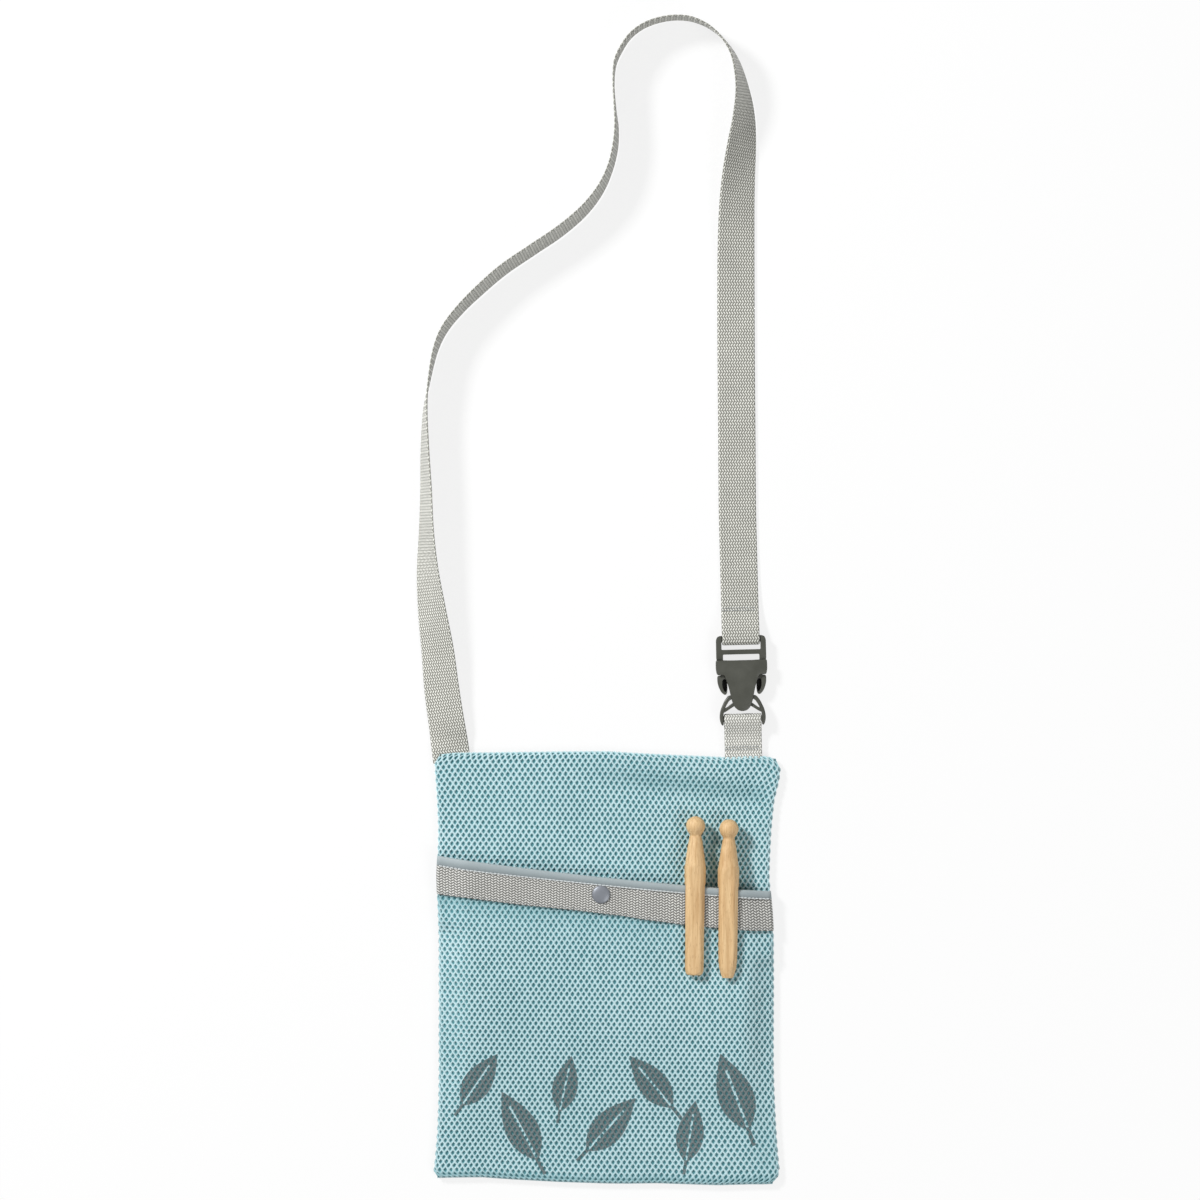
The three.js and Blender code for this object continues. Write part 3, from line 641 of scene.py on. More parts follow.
def ground(name, face, heights, way=1):
    """The inner face of the mesh: a closed sheet under the net. heights gives its two ends across the bag."""
    share = np.linspace(-1, 1, 91)
    high, low = heights(share * 111)
    up, share = np.broadcast_arrays(high + (low - high) * np.linspace(0, 1, 81)[:, None], share)
    points = np.concatenate([under(face, share, up, depth, way).reshape(-1, 3) for depth in GROUND_DEPTHS])
    faces = [f[::-way] for f in slab_faces(*up.shape)]
    return cloth_piece(name, slack(points), faces, points[:, :2] / 10)


upper_net = net("upper_mesh_net", upper_face, LONGEST, 10, lambda x, y: y > mouth_y(x) - 36)
pocket_net = net("pocket_mesh_net", pocket_face, 75, -LONGEST, lambda x, y: y < mouth_y(x) - 2.2)
back_net = net("back_mesh_net", back_face, LONGEST, -LONGEST, lambda x, y: y < LONGEST, way=-1, walls=False)
upper_ground = ground("upper_mesh_ground", upper_face, lambda x: (LONGEST, mouth_y(x) - 38))
pocket_ground = ground("pocket_mesh_ground", pocket_face, lambda x: (mouth_y(x) - 0.4, -LONGEST))
back_ground = ground("back_mesh_ground", back_face, lambda x: (LONGEST, -LONGEST), way=-1)
for piece in (upper_net, pocket_net, back_net):
    print(piece.name, len(piece.data.polygons), "faces")

# %% [markdown]
# The threads are pale blue and the inner face is a deeper teal with a fine knit. Both take their small
# unevenness from one group of noise, so that they look like the same yarn.

# %% Yarn unevenness
yarn, given, gives = new_group("yarn unevenness", {"Place": "Vector", "Size": "Float"},
                               {"Tone": "Float", "Fuzz": "Float"})
broad = noise(yarn, given["Place"], 22.0)
fine = noise(yarn, given["Place"], given["Size"], 3.0, 0.65)
yarn.links.new(calc(yarn, "MULTIPLY_ADD", fine, 0.5, calc(yarn, "MULTIPLY", broad, 0.5)), gives["Tone"])
yarn.links.new(fine, gives["Fuzz"])


def unevenness(tree, size):
    """The yarn's tone and fuzz on a piece, with so many tufts to the metre."""
    return placed(tree, yarn, {"Place": own_place(tree), "Size": size})


print("group", yarn.name)

# %% [markdown]
# The print at the foot of the pocket is ink on the raised threads only. Here it is a plain scatter of leaves,
# each at its own tilt. One node group draws a leaf from its middle and tilt: a pointed oval, the pale line of
# its rib, and a short stalk.

# %% Leaf motif
motif, given, gives = new_group(
    "leaf motif", {"Place": "Vector", "Middle": "Vector", "Tilt": "Float", "Size": "Float"}, {"Ink": "Float"})
do = partial(calc, motif)
moved = vector(motif, "SUBTRACT", given["Place"], given["Middle"])
turn = add(motif, "VectorRotate", {0: moved, "Angle": given["Tilt"]}, rotation_type="Z_AXIS").outputs[0]
place = add(motif, "SeparateXYZ", {0: vector(motif, "DIVIDE", turn, given["Size"])}).outputs
wide = do("ABSOLUTE", place[0])
high = do("MINIMUM", do("MAXIMUM", place[1], -3.2), 2.6)
oval = do("MULTIPLY_ADD", do("MULTIPLY", high, high), -0.2, 1.0)
taper = do("MULTIPLY_ADD", high, -0.14, 1.0)
blade = do("SUBTRACT", do("MULTIPLY", do("MULTIPLY", oval, taper), 0.95), wide)
blade = step_between(motif, blade, -0.02, 0.02)
rib = do("MULTIPLY", step_between(motif, wide, 0.085, 0.05), step_between(motif, high, 1.3, 1.2))
stalk = do("MULTIPLY", step_between(motif, wide, 0.13, 0.10), step_between(motif, high, -3.1, -3.05))
stalk = do("MULTIPLY", stalk, step_between(motif, high, -2.0, -2.05))
blade = do("MULTIPLY", blade, do("SUBTRACT", 1.0, rib))
motif.links.new(do("MAXIMUM", blade, stalk), gives["Ink"])
print("group", motif.name)

# %% Mesh materials
PRINT = [
    (-8.3, -7.4, 0.6, 0.95), (-5.6, -10.4, -0.5, 1.15), (-2.6, -7.6, 0.2, 0.85), (0.4, -10.2, 0.75, 1.05),
    (3.0, -7.4, -0.7, 1.0), (5.6, -10.6, 0.15, 0.9), (8.4, -8.0, -0.35, 1.2),
]
INK = (0.115, 0.145, 0.150)


def mesh_material(name, printed=False):
    """Pale blue threads, with ink on them where the cloth is printed."""
    material, tree, shader = new_material(name, Roughness=0.62, Sheen_Weight=0.2)
    uneven = unevenness(tree, 1500.0)
    # The net's tone follows painted shade: light on the ridges, darker down the holes and in the net's
    # painted shade.
    painted_crest_shade = calc(tree, "POWER", add(tree, "Attribute", attribute_name="painted_crest_shade").outputs["Fac"], 1.3)
    tone = calc(tree, "MULTIPLY_ADD", painted_crest_shade, 0.75, calc(tree, "MULTIPLY_ADD", uneven["Tone"], 0.5, -0.12))
    shade = colour_mix(tree, tone, (0.17, 0.385, 0.425), (0.66, 0.85, 0.89))
    if printed:
        cloth = add(tree, "UVMap", uv_map="cloth").outputs[0]
        ink = 0.0
        for x, y, tilt, size in PRINT:
            leaf = placed(tree, motif, {"Place": cloth, "Middle": (x, y, 0), "Tilt": tilt, "Size": size})
            ink = calc(tree, "MAXIMUM", ink, leaf["Ink"])
        worn = calc(tree, "MULTIPLY", ink, calc(tree, "MULTIPLY_ADD", uneven["Fuzz"], 0.5, 0.66))
        shade = colour_mix(tree, worn, shade, INK)
    lead(tree, shader, Base_Color=shade, height=uneven["Fuzz"], strength=0.35, depth=0.00025)
    return material


blue_threads = mesh_material("blue_mesh_threads")
printed_threads = mesh_material("blue_mesh_threads_printed", printed=True)
teal_ground, tree, shader = new_material("teal_mesh_ground", Roughness=0.8)
knit = ribs(tree, 420.0, 1.2, 1.0)
deep = calc(tree, "MULTIPLY_ADD", knit, 0.35, calc(tree, "MULTIPLY", unevenness(tree, 1100.0)["Tone"], 0.65))
lead(tree, shader, Base_Color=colour_mix(tree, deep, (0.048, 0.172, 0.195), (0.125, 0.355, 0.395)),
     height=knit, strength=0.4, depth=0.0003)
nets = [(upper_net, blue_threads), (pocket_net, printed_threads), (back_net, blue_threads)]
for piece, material in nets + [(sheet, teal_ground) for sheet in (upper_ground, pocket_ground, back_ground)]:
    piece.data.materials.append(material)
print("materials", blue_threads.name, printed_threads.name, teal_ground.name)

# %% [markdown]
# The pocket front is sewn to the bag down both sides, so when it opens only its middle swings out and the
# sides stay. For every point a share of the swing is worked out: nothing at the side seams and all of it
# from the pegs inwards, each half from its own side.

# %% How the pocket's cloth moves
def swings(piece):
    """The piece with its transform baked in, and the share of the pocket's swing worked out for each point.
    """
    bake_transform(piece)
    at = np.empty(3 * len(piece.data.vertices), dtype=np.float32)
    piece.data.vertices.foreach_get("co", at)
    x, y = at[::3] / MM, at[1::3] / MM
    right, left = np.interp(y, HEIGHTS, RIGHT_SLACK), -np.interp(y, HEIGHTS, LEFT_SLACK)
    share = smooth((side_x(y) + np.where(x > 0, right, left) - np.abs(x)) / 20.5)
    return piece


for piece, node in ((upper_net, "upper_front_panel"), (upper_ground, "upper_front_panel"),
                    (back_net, "back_panel"), (back_ground, "back_panel")):
    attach(piece, "bag")
    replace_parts(piece, node)
for piece in (pocket_net, pocket_ground):
    swings(piece)
    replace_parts(piece, "pocket_panel")

# %% [markdown]
# ## Band, binding and tab
# The band along the mouth is the strap's webbing, laid on the pocket's curve, in a darker copy that paints
# shade. The binding over the edge is a smooth blue-grey tape folded in half, wider at the left, with painted
# light along its fold that fades to painted shade at its lower edge. The tab is a short loop of webbing
# round the buckle's lower bar, in a lighter copy that paints light.

# %% Band along the mouth
BAND_END = 109.8
BAND_PLACES = [-110, -86, -54, -23, 9, 25, 40, 55, 96, 110]
BAND_WIDTHS = [24.4, 23.7, 23.5, 22.8, 23.1, 24.2, 24.7, 25.5, 25.9, 25.4]


def band_width(x):
    """The band draws in a little left of the stud and lies at its full width under the pegs."""
    return np.interp(x, BAND_PLACES, BAND_WIDTHS)


def into_seam(x, y):
    """How far the ends of the band and the binding turn down into the side seams."""
    out = np.clip((np.abs(x) - side_x(y) + ROLL) / ROLL, 0, 1)
    return ROLL * (1 - np.sqrt(1 - out**2))


def band_surface(x, y):
    """The middle of the band's thickness, a little puckered by the stud."""
    pucker = 0.35 * np.sin(0.21 * x + 0.05 * y) * bell((x - 12) / 34)
    z = pocket_inner(x, y) + 2.075 + 0.3 * dents(x, y + 60) + pucker - into_seam(x, y)
    return np.stack([x, y, z], axis=-1)


x = np.linspace(-BAND_END, BAND_END, int(2 * BAND_END / KNOT * 2) + 1)
grid_x, share = np.meshgrid(x, np.linspace(0, 1, 2 * COLUMNS + 1), indexing="ij")
grid_y = mouth_y(grid_x) - share * band_width(grid_x)
middle = band_surface(grid_x, grid_y)
right, upward = band_surface(grid_x + 0.2, grid_y) - middle, band_surface(grid_x, grid_y + 0.2) - middle
drawn = slack(middle.reshape(-1, 3)).reshape(middle.shape)
band = webbing("mouth_band", drawn, unit(np.cross(right, upward)), thickness=1.15)
# The band's webbing is a darker copy of the strap's, which paints shade.
band.data.materials.append(webbing_material("band_webbing_painted_shade", (0.75, 0.75, 0.72), (0.13, 0.13, 0.118)))
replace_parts(swings(band), "mouth_webbing")
print("band faces", len(band.data.polygons))

# %% Binding over the edge
TAPE_HALF = 0.25
REACH = np.linspace(1, 0.12, 6)
INNER_LEG = np.full(6, -0.45)
OUTER_LEG = np.array([3.2, 3.45, 3.5, 3.41, 3.15, 2.8])


def binding_width(x):
    return 4.2 + 1.2 * smooth(-x / WAIST_HALF)


turns = np.radians(np.linspace(-90, 90, 11))
lip = np.column_stack([0.05 - 0.6 * np.cos(turns), 1.325 + 1.775 * np.sin(turns)])
rows = []
for px in np.linspace(-110.2, 110.2, 260):
    leg = REACH * binding_width(px)
    fold = np.vstack([np.column_stack([leg, INNER_LEG]), lip, np.column_stack([leg[::-1], OUTER_LEG])])
    tangent = unit(np.gradient(fold, axis=0))
    outward = TAPE_HALF * np.column_stack([-tangent[:, 1], tangent[:, 0]])
    base = pocket_inner(px, mouth_y(px) - 2) - into_seam(px, mouth_y(px))
    rows.append([np.column_stack([np.full(len(fold), px), mouth_y(px) - side[:, 0], base + side[:, 1]])
                 for side in (fold + outward, fold - outward)])
rows = np.array(rows)
points = np.concatenate([rows[:, 0].reshape(-1, 3), rows[:, 1].reshape(-1, 3)])
faces = slab_faces(len(rows), rows.shape[2])
binding = cloth_piece("mouth_binding_tape", slack(points), faces, points[:, :2] / 10)
# How far down the outer leg each point lies, for painted light at the fold and painted shade at the lower
# edge.
down_leg = np.concatenate([np.zeros(len(INNER_LEG) + len(lip)), REACH[::-1]])
note(binding, "leg", np.tile(down_leg, 2 * len(rows)))
tape, tree, shader = new_material("blue_grey_tape", Roughness=0.55, Sheen_Weight=0.25)
# Painted light along the tape's fold, fading to painted shade towards its lower edge.
leg = add(tree, "Attribute", attribute_name="leg").outputs["Fac"]
tone = calc(tree, "MULTIPLY_ADD", unevenness(tree, 700.0)["Tone"], 0.35,
            calc(tree, "MULTIPLY_ADD", leg, -0.35, 0.57))
lead(tree, shader, Base_Color=colour_mix(tree, tone, (0.150, 0.187, 0.205), (0.42, 0.485, 0.50)),
     height=ribs(tree, 900.0, 0.4), strength=0.25, depth=0.0002)
binding.data.materials.append(tape)
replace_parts(swings(binding), "mouth_binding")
print("binding faces", len(binding.data.polygons))

# %% Tab for the buckle
TAB = [
    (-6, 1.75), (0, 1.8), (8, 1.9), (14, 1.85), (19, 1.75), (22.6, 1.7), (24.5, 1.7), (26.55, 2.55),
    (27.4, 4.6), (26.55, 6.65), (24.5, 7.5), (22.4, 7.25), (19, 5.9), (15.5, 4.4), (12, 3.6), (8, 3.4),
    (0, 3.2), (-6, 2.9),
]
tab = ribbon("buckle_tab_webbing", *folded(TAB, 8), width=24.4, thickness=1.2)
# The tab's webbing is a lighter copy of the strap's, which paints light.
tab.data.materials.append(webbing_material("tab_webbing_painted_light", (0.93, 0.93, 0.88), (0.29, 0.29, 0.26)))
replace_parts(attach(tab, "bag"), "buckle_tab")
print("tab faces", len(tab.data.polygons))

# %% [markdown]
# ## Stitches
# Each stitch is a small capsule of thread, pressed flat. One is modelled and set down again and again along
# a line.

# %% Stitch maker
STITCH_X = np.array([-0.5, -0.43, -0.2, 0.2, 0.43, 0.5])
STITCH_FAT = np.array([0.25, 0.75, 1, 1, 0.75, 0.25])
PRESSED = 0.7


def stitches(name, places, along, length, radius, thread):
    """A row of stitches: each lies along its own way, at a place in millimetres."""
    ring = np.radians(np.arange(8) * 45)
    shape = np.stack([np.repeat(STITCH_X, 8) * length, np.outer(STITCH_FAT, np.cos(ring)).ravel() * radius,
                      np.outer(STITCH_FAT, np.sin(ring)).ravel() * radius * PRESSED], axis=1)
    along = unit(along)
    side = unit(np.cross((0, 0, 1), along))
    axes = np.stack([along, side, np.cross(along, side)], axis=1)
    points = places[:, None] + np.einsum("pk,nkj->npj", shape, axes)
    index = np.arange(48).reshape(6, 8)
    after = np.roll(index, -1, 1)
    one = quads(index[:-1], after[:-1], after[1:], index[1:]) + [index[0][::-1].tolist(), index[-1].tolist()]
    faces = [[v + 48 * n for v in f] for n in range(len(places)) for f in one]
    piece = cloth_piece(name, points.reshape(-1, 3), faces)
    piece.data.materials.append(thread)
    return piece


def thread_material(name, colour):
    """A thread that is a quarter paler and a quarter darker in places."""
    material, tree, shader = new_material(name, Roughness=0.6)
    dark, pale = ([min(1, share * c) for c in colour] for share in (0.75, 1.25))
    lead(tree, shader, Base_Color=colour_mix(tree, unevenness(tree, 2200.0)["Tone"], dark, pale))
    return material


grey_thread = thread_material("grey_sewing_thread", (0.33, 0.35, 0.355))
# Pale thread: painted light for the binding's lower edge.
painted_edge_light_thread = thread_material("sewing_thread_painted_edge_light", (0.66, 0.70, 0.71))
print("materials", grey_thread.name, painted_edge_light_thread.name)

# %% Rows of stitches
def beside_mouth(x, y):
    """The way that a line beside the mouth runs."""
    return np.column_stack([np.ones_like(x), np.gradient(y, x), np.zeros_like(x)])


def over_webbing(name, rows):
    """Grey stitches across the webbing at the buckle. A row is its distance up and its height."""
    spots = np.concatenate([at_buckle(np.arange(-11.2, 11.3, 2.25), v, z) for v, z in rows])
    return stitches(name, spots, np.tile(-BUCKLE_ACROSS, (len(spots), 1)), 1.6, 0.3, grey_thread)


x = np.arange(-107.5, 107.6, 2.5)
y = mouth_y(x) - binding_width(x) - 0.1
spots = slack(np.column_stack([x, y, pocket_inner(x, mouth_y(x) - 2) + 3.05]))
# Real stitches, but pale and nearly end to end, so they paint the light on the tape's lower edge.
binding_stitches = stitches("binding_stitches", spots, beside_mouth(x, y), 2.45, 0.46, painted_edge_light_thread)
y = mouth_y(x) - band_width(x) + 1.4
spots = slack(band_surface(x, y) + (0, 0, 0.58))
band_stitches = stitches("band_stitches", spots, beside_mouth(x, y), 1.7, 0.24, grey_thread)
for piece, slot in ((binding_stitches, "binding"), (band_stitches, "webbing")):
    swings(piece)
tab_stitches = over_webbing("tab_stitches", [(4.6, 4.05), (6.2, 4.05)])
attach(tab_stitches, "bag")
fold_z = np.interp([97.4, 95.8], [89, 97, 104], [4.6, 2.65, 1.9]) + 0.68
strap_stitches = over_webbing("strap_stitches", zip([97.4, 95.8], fold_z))
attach(strap_stitches, "buckle_male")
print("stitches on the binding:", len(x))

# %% [markdown]
# The bag has three panels: the upper front, the pocket front and the back.

print("three panels: upper front, pocket front and back")

# %% [markdown]
# ## Turned pieces: pegs and stud
# A dolly peg is turned on a lathe and then sawn up the middle. So it is made that way here: a circle is
# extruded ring by ring along the peg and scaled at each step, then a wedge is cut out of it and the sawn
# edges are eased.

# %% Turning on a lathe
SIDES = 48


def new_circle(name, **circle):
    """A filled circle, selected in edit mode and ready to extrude."""
    bpy.ops.object.select_all(action="DESELECT")
    bpy.ops.mesh.primitive_circle_add(fill_type="NGON", **circle)
    bpy.context.object.name = name
    bpy.ops.object.mode_set(mode="EDIT")
    bpy.ops.mesh.select_all(action="SELECT")
    return bpy.context.object


def face_out():
    """Every face of the new piece turned outwards."""
    bpy.ops.object.mode_set(mode="EDIT")
    bpy.ops.mesh.select_all(action="SELECT")
    bpy.ops.mesh.normals_make_consistent(inside=False)
    bpy.ops.object.mode_set(mode="OBJECT")


def turned_piece(name, middle, axis, profile):
    """Rings of a profile (radius, distance along the axis) on a lathe. Axis is 1 for y, 2 for z."""
    way = np.eye(3)[axis]
    centres = [np.array(middle, float) + way * distance for _, distance in profile]
    piece = new_circle(name, vertices=SIDES, radius=profile[0][0] * MM, location=centres[0] * MM,
                       rotation=(math.pi / 2 if axis == 1 else 0, 0, 0))
    for (r0, d0), (r1, d1), centre in zip(profile, profile[1:], centres[1:]):
        bpy.ops.mesh.extrude_region_move(TRANSFORM_OT_translate={"value": tuple(way * (d1 - d0) * MM)})
        size = np.full(3, r1 / r0)
        size[axis] = 1
        bpy.ops.transform.resize(value=tuple(size), center_override=tuple(centre * MM))
    face_out()
    bpy.ops.object.transform_apply(location=True, rotation=True, scale=True)
    return piece


def smooth_shade(degrees):
    """The active piece shaded smooth, apart from edges sharper than an angle."""
    bpy.ops.object.shade_smooth_by_angle(angle=math.radians(degrees))


def apply_all(piece):
    """Every modifier on a piece, applied in order."""
    bpy.ops.object.select_all(action="DESELECT")
    piece.select_set(True)
    bpy.context.view_layer.objects.active = piece
    for modifier in list(piece.modifiers):
        bpy.ops.object.modifier_apply(modifier=modifier.name)


def soften(piece, width, segments=2, angle=40):
    """Sharp edges eased by a bevel, then smooth shading."""
    bevel = piece.modifiers.new("eased edges", "BEVEL")
    bevel.width, bevel.segments = width * MM, segments
    bevel.limit_method, bevel.angle_limit = "ANGLE", math.radians(angle)
    apply_all(piece)
    smooth_shade(38)


def cut(piece, cutter, operation="DIFFERENCE", materials="INDEX"):
    """A boolean with another piece, which is then thrown away."""
    modifier = piece.modifiers.new("cut", "BOOLEAN")
    modifier.operation, modifier.object, modifier.solver = operation, cutter, "EXACT"
    modifier.material_mode = materials
    apply_all(piece)
    bpy.data.objects.remove(cutter)


print("lathe ready")

# %% Dolly pegs
PEG_Z = 12.7
SLOT = 4.9
SLOT_FLARE = 0.7
PEG = [
    (0.7, 6.27), (2.4, 5.8), (4.45, 4.45), (5.8, 2.4), (6.3, 0), (5.9, -2.2), (5, -4), (4, -5.5),
    (3.72, -6.5), (4, -7.3), (4.5, -10), (5.06, -13.2), (6, -19.9), (6.72, -25.4), (7, -27), (7, -31),
    (6.95, -34), (6.88, -38.5), (6.85, -43.5), (6.85, -60),
]
SQUARE_FOOT = [(6.85, -78), (6.85, -92), (6.7, -94.6), (6.2, -96.5), (5.2, -97.5)]
TAPERED_FOOT = [(6.9, -78), (6.75, -86), (6.4, -90.5), (5.7, -93.6), (5.1, -96), (4.6, -97.4)]


def dolly_peg(name, x, y, foot):
    """A turned peg with its head at a place, planed flat in front and sawn up as far as the bound edge."""
    peg = turned_piece(name, (x, y, PEG_Z), 1, flowing(PEG + foot, 3).tolist())
    for vertex in peg.data.vertices:
        flat = 6.0 + 1.2 * smooth((vertex.co.y / MM - y + 34) / 14)
        vertex.co.z = min(vertex.co.z, (PEG_Z + flat) * MM)
    top = mouth_y(x) + 2.0
    low = y - 100
    bpy.ops.object.select_all(action="DESELECT")
    bpy.ops.mesh.primitive_cube_add(size=1, location=(x * MM, (top + low) / 2 * MM, PEG_Z * MM),
                                    scale=(20 * MM, (top - low) * MM, SLOT * MM))
    wedge = bpy.context.object
    bpy.ops.object.transform_apply(location=True, rotation=True, scale=True)
    for vertex in wedge.data.vertices:
        if vertex.co.y < (low + 1) * MM:
            vertex.co.z += math.copysign(SLOT_FLARE * MM, vertex.co.z - PEG_Z * MM)
    cut(peg, wedge)
    soften(peg, 0.35)
    return peg


peg_left = dolly_peg("dolly_peg_left", 57.4, 94.3, SQUARE_FOOT)
peg_right = dolly_peg("dolly_peg_right", 79.2, 92.6, TAPERED_FOOT)
for piece, node in ((peg_left, "peg_left"), (peg_right, "peg_right")):
    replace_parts(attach(piece, node), node)
print("peg faces", len(peg_left.data.polygons), len(peg_right.data.polygons))

# %% [markdown]
# Beech is pale and straight-grained, with short darker flecks along the peg. The noise is stretched along y
# for that, and a slower noise varies the warmth. Each peg sits at its own place, so no two pegs show the
# same grain.

# %% Beech
beech, tree, shader = new_material("bare_beech", Roughness=0.58)
body = own_place(tree)
grained, flecked = (add(tree, "Mapping", {"Vector": body, "Scale": (1.0, along, 1.0)}).outputs[0]
                    for along in (0.045, 0.16))
grain = noise(tree, grained, 700.0, 4.0, 0.6)
fleck = step_between(tree, noise(tree, flecked, 1700.0, 1.0), 0.62, 0.72)
tone = calc(tree, "MULTIPLY_ADD", grain, 0.72, calc(tree, "MULTIPLY", noise(tree, grained, 160.0), 0.28))
wood = colour_mix(tree, step_between(tree, tone, 0.26, 0.72), (0.535, 0.315, 0.133), (0.845, 0.60, 0.322))
wood = colour_mix(tree, calc(tree, "MULTIPLY", fleck, 0.45), wood, (0.40, 0.23, 0.10))
lead(tree, shader, Base_Color=wood, Roughness=calc(tree, "MULTIPLY_ADD", grain, 0.25, 0.45),
     height=tone, strength=0.14, depth=0.0003)
for piece in (peg_left, peg_right):
    piece.data.materials.append(beech)
print("material", beech.name)

# %% [markdown]
# The stud's cap is a low dome on a rivet, painted to match the binding. Its inner halves are bare steel, and
# they are the solids themselves with a better finish.

# %% Press stud
CAP = [
    (0.3, 10.0), (1.9, 10.0), (1.9, 14.0), (5.3, 14.1), (5.8, 14.2), (5.9, 14.5), (5.75, 14.85),
    (5.3, 15.15), (4.7, 15.4), (3.6, 15.7), (2.4, 15.88), (1.2, 15.97), (0.3, 16.0),
]


def satin(name, size, dark, light, gloss, **sockets):
    """A satin metal, a little uneven in tone and gloss."""
    material, tree, shader = new_material(name, **sockets)
    uneven = unevenness(tree, size)
    lead(tree, shader, Base_Color=colour_mix(tree, uneven["Tone"], dark, light),
         Roughness=calc(tree, "MULTIPLY_ADD", uneven["Fuzz"], *gloss))
    return material


stud = turned_piece("press_stud_cap", (-4.1, 48.8, 0), 2, CAP)
smooth_shade(38)
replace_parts(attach(stud, "pocket_front"), "stud_cap")
stud.data.materials.append(satin("blue_grey_stud", 900.0, (0.21, 0.225, 0.255), (0.295, 0.315, 0.35),
                                 (0.25, 0.3), Metallic=0.35, Roughness=0.42))
steel = satin("stud_steel", 1400.0, (0.42, 0.43, 0.44), (0.58, 0.59, 0.60), (0.3, 0.2), Metallic=1.0,
              Roughness=0.35)
for node in ("stud_socket", "stud_nub", "stud_post"):
    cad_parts[node].data.materials.clear()
    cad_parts[node].data.materials.append(steel)
print("stud faces", len(stud.data.polygons))

# %% [markdown]
# ## Side-release buckle
# The buckle is moulded plastic, a dark olive grey with a fine grain and a satin gloss. A slow noise varies
# the gloss a little, as handling does. The latch windows are deep, and their floors are painted near black
# as shade.

# %% Moulded plastic
plastic, tree, shader = new_material("olive_grey_plastic", Roughness=0.4)
handled = noise(tree, own_place(tree), 120.0)
lead(tree, shader, Base_Color=colour_mix(tree, handled, (0.058, 0.060, 0.049), (0.084, 0.086, 0.071)),
     Roughness=calc(tree, "MULTIPLY_ADD", handled, 0.3, 0.22),
     height=noise(tree, own_place(tree), 2600.0), strength=0.12, depth=0.0002)
painted_window_shade, tree, shader = new_material("latch_window_painted_shade", Base_Color=(0.008, 0.008, 0.007, 1), Roughness=0.7)
lead(tree, shader, Roughness=calc(tree, "MULTIPLY_ADD", noise(tree, own_place(tree), 1500.0), 0.3, 0.55))
print("materials", plastic.name, painted_window_shade.name)

# %% [markdown]
# The housing has a shield in front and behind, and wings that carry the tab's bar. The male half has
# a ladder for the strap and two sprung prongs. Every member starts as a circle with as many points as its
# outline has. It is extruded ring by ring, and the rings are moved to the outline, drawn in a little where
# an edge is rounded. Members of one moulding are joined.

# %% Moulded members
def eased(outline, reach):
    """An outline with its corners cut twice, by no more than reach."""
    p = np.asarray(outline, float)
    for _ in range(2):
        step = np.roll(p, -1, axis=0) - p
        size = np.linalg.norm(step, axis=1, keepdims=True)
        part = np.minimum(0.25, reach / np.maximum(size, 1e-6))
        p = np.stack([p + step * part, p + step * (1 - part)], axis=1).reshape(-1, 2)
        reach /= 2
    return p


def flipped(outline):
    return [(-u, v) for u, v in reversed(outline)]


def both_sides(half):
    """A whole outline from its right half."""
    return half + [(u, v) for u, v in flipped(half) if u < 0]


def block(u0, u1, v0, v1):
    return [(u0, v0), (u1, v0), (u1, v1), (u0, v1)]


def inset(outline, by):
    """An outline moved inwards by a distance."""
    p = np.asarray(outline, float)
    after = np.roll(p, -1, axis=0)
    step = unit(after - p)
    turning = np.sign((p[:, 0] * after[:, 1] - p[:, 1] * after[:, 0]).sum())
    inward = np.column_stack([-step[:, 1], step[:, 0]]) * turning
    both = inward + np.roll(inward, 1, axis=0)
    return p + by * both / np.maximum(0.6, (both * both).sum(axis=1, keepdims=True) / 2)


def member(name, rings):
    """A solid through rings that have the same number of points, in millimetres."""
    piece = new_circle(name, vertices=len(rings[0]), radius=MM)
    for _ in rings[1:]:
        bpy.ops.mesh.extrude_region_move(TRANSFORM_OT_translate={"value": (0, 0, MM)})
    bpy.ops.object.mode_set(mode="OBJECT")
    piece.data.vertices.foreach_set("co", (np.concatenate(rings) * MM).ravel())
    face_out()
    piece.data.materials.append(plastic)
    return piece


def moulded(name, outline, low, high, edge=0):
    """A plate with an outline in the buckle's axes, between two heights. Its edges can be rounded."""
    rings = [(0, low), (0, high)]
    if edge:
        rings = [(edge, low), (0.3 * edge, low + 0.3 * edge), (0, low + edge), (0, high - edge),
                 (0.3 * edge, high - 0.3 * edge), (edge, high)]
    return member(name, [at_buckle(*inset(outline, by).T, z) for by, z in rings])


def rod(name, v, z, radius, half):
    """A round bar across the buckle."""
    ring = np.radians(np.arange(0, 360, 15))
    up, out = v + radius * np.cos(ring), z + radius * np.sin(ring)
    return member(name, [at_buckle(-half, up, out), at_buckle(half, up, out)])


def joined(first, *others):
    """Members of one moulding, joined into one solid."""
    for other in others:
        cut(first, other, "UNION")
    return first


print("moulding ready")

# %% Housing
SHIELD_EDGE = 0.45
SHIELD = [
    (0, 62.8), (8, 63.0), (16.0, 63.3), (16.6, 62.9), (16.8, 61.4), (16.8, 57.5), (16.5, 55.2),
    (16.0, 53.5), (11.6, 53.5), (10.6, 51.7), (9.8, 49), (9.0, 46.5), (8.2, 43.5), (7.6, 40.5), (6.6, 36),
    (5.2, 32.4), (3, 30.2), (0, 29.5),
]
WING = [
    (5.5, 40.2), (8.4, 40), (9.6, 39.4), (11.8, 36.4), (14.2, 31.2), (15.1, 27.2), (15, 23.6), (14, 20.6),
    (13, 20.3), (12.6, 21.4), (12.6, 28.4), (10.9, 33), (8.4, 37), (5.5, 38),
]
ARCH = [
    (4.6, 33.4), (7.4, 31.7), (10, 30), (12.2, 28.8), (13.6, 28.5), (14, 30.6), (12.2, 31.1), (9.6, 32.6),
    (7, 34.6), (4.6, 36.2),
]
shield = eased(both_sides(SHIELD), 0.6)
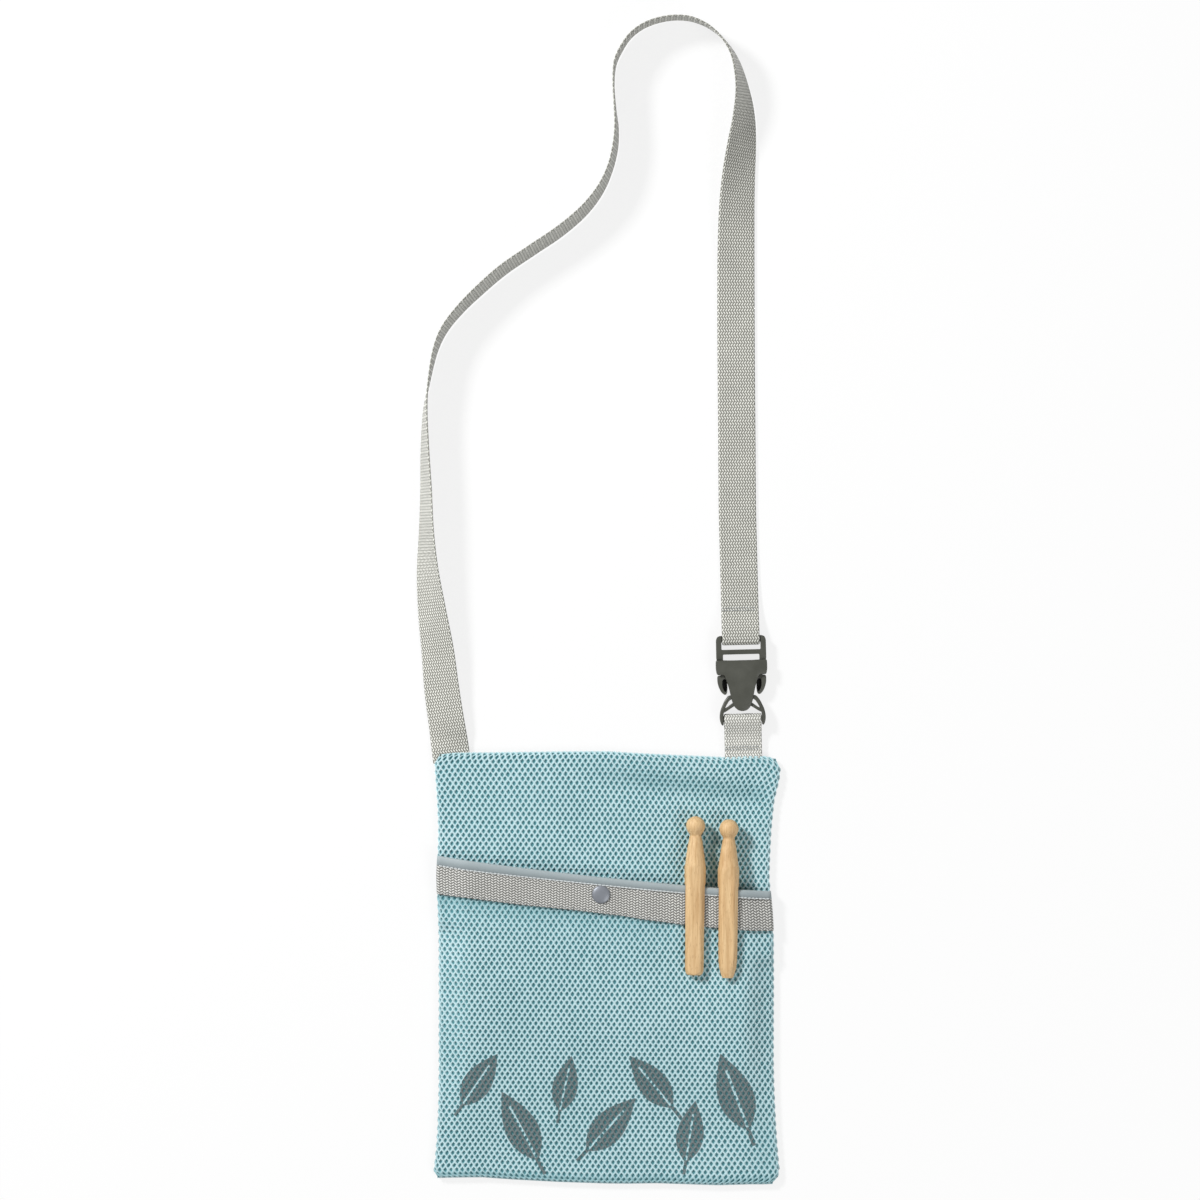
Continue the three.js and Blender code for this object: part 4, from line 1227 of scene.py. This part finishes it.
housing = moulded("buckle_housing", shield, 6.9, 8.8, SHIELD_EDGE)
members = [moulded("back_shield", shield, 0.4, 2.3, SHIELD_EDGE)]
for side in (list, flipped):
    members.append(moulded("shoulder", eased(side(block(14.1, 15.3, 53.75, 62.6)), 0.4), 1.2, 8.0))
    members.append(moulded("wing", eased(side(WING), 0.8), 1.2, 8.0, 0.6))
    members.append(moulded("arch", eased(side(ARCH), 0.6), 1.6, 7.6, 0.3))
members.append(rod("tab_bar", 24.5, 4.6, 2.0, 13.7))
members.append(moulded("tip_block", block(-6, 6, 36.5, 41), 1.6, 7.4))
joined(housing, *members)
smooth_shade(50)
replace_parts(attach(housing, "bag"), "buckle_female")
print("housing faces", len(housing.data.polygons))

# %% Male half and prongs
LADDER = [(0, 63.5), (16.1, 63.5), (16.4, 64.0), (16.35, 76.6), (15.5, 78.5), (13.8, 79.2), (0, 79.2)]
WINDOW = [
    (10.2, 50.6), (12.3, 50.9), (12.9, 49), (12.8, 46), (12.0, 43.6), (11.0, 42.2), (10.3, 43), (10.1, 46),
]
PRONG = [
    (12.9, 59.6), (13.2, 55), (13.4, 53.2), (15.6, 53.1), (16.1, 52.1), (16, 48.6), (15.2, 45.4),
    (13.9, 42.6), (12.3, 40.8), (11, 40.4), (9.9, 41.4), (9.5, 45), (9.7, 50), (10.1, 55), (10.1, 59.6),
]
OPENINGS = [(block(-12.85, 12.85, 70, 75), 1, 9), (block(-12, 12, 63, 66.9), 1, 9),
            (block(-12.85, 12.85, 74.5, 82), 6.4, 9), (block(-12.85, 12.85, 74.5, 82), 1, 3)]
ROOT = [(11.5 + 1.6 * math.cos(a), 60.2 + 1.6 * math.sin(a)) for a in np.radians(np.arange(0, 360, 20))]
ladder = joined(moulded("buckle_ladder", eased(both_sides(LADDER), 0.6), 2.6, 6.8),
                moulded("cross_member", block(-13.6, 13.6, 60.2, 65), 2.6, 6.6),
                moulded("collar", block(-16.2, 16.2, 62.85, 65), 3.0, 6.4))
for opening, low, high in OPENINGS:
    cut(ladder, moulded("opening", eased(opening, 0.4), low, high))
soften(ladder, 0.6, 3, 50)
joined(ladder, moulded("guide", eased(block(-2.5, 2.5, 48, 61), 0.8), 3.3, 5.9, 0.3))
smooth_shade(35)
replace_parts(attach(ladder, "buckle_male"), "buckle_male")
for side, word in ((flipped, "left"), (list, "right")):
    prong = moulded("buckle_latch_" + word, eased(side(PRONG), 0.6), 2.7, 6.5)
    window = moulded("window", eased(side(WINDOW), 0.6), 3.3, 9)
    # The window's floor takes the near-black material: painted shade.
    window.data.materials[0] = painted_window_shade
    cut(prong, window, materials="TRANSFER")
    soften(prong, 0.35, 2, 50)
    joined(prong, moulded("root", side(ROOT), 2.75, 6.45))
    smooth_shade(35)
    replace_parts(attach(prong, "prong_" + word), "buckle_prong_" + word)

# %% [markdown]
# ## Measure and finish
# The dressed bag has to be the size of the solids, so its box is measured.

# %% Measure and finish
low, high = (list(corner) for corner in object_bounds())
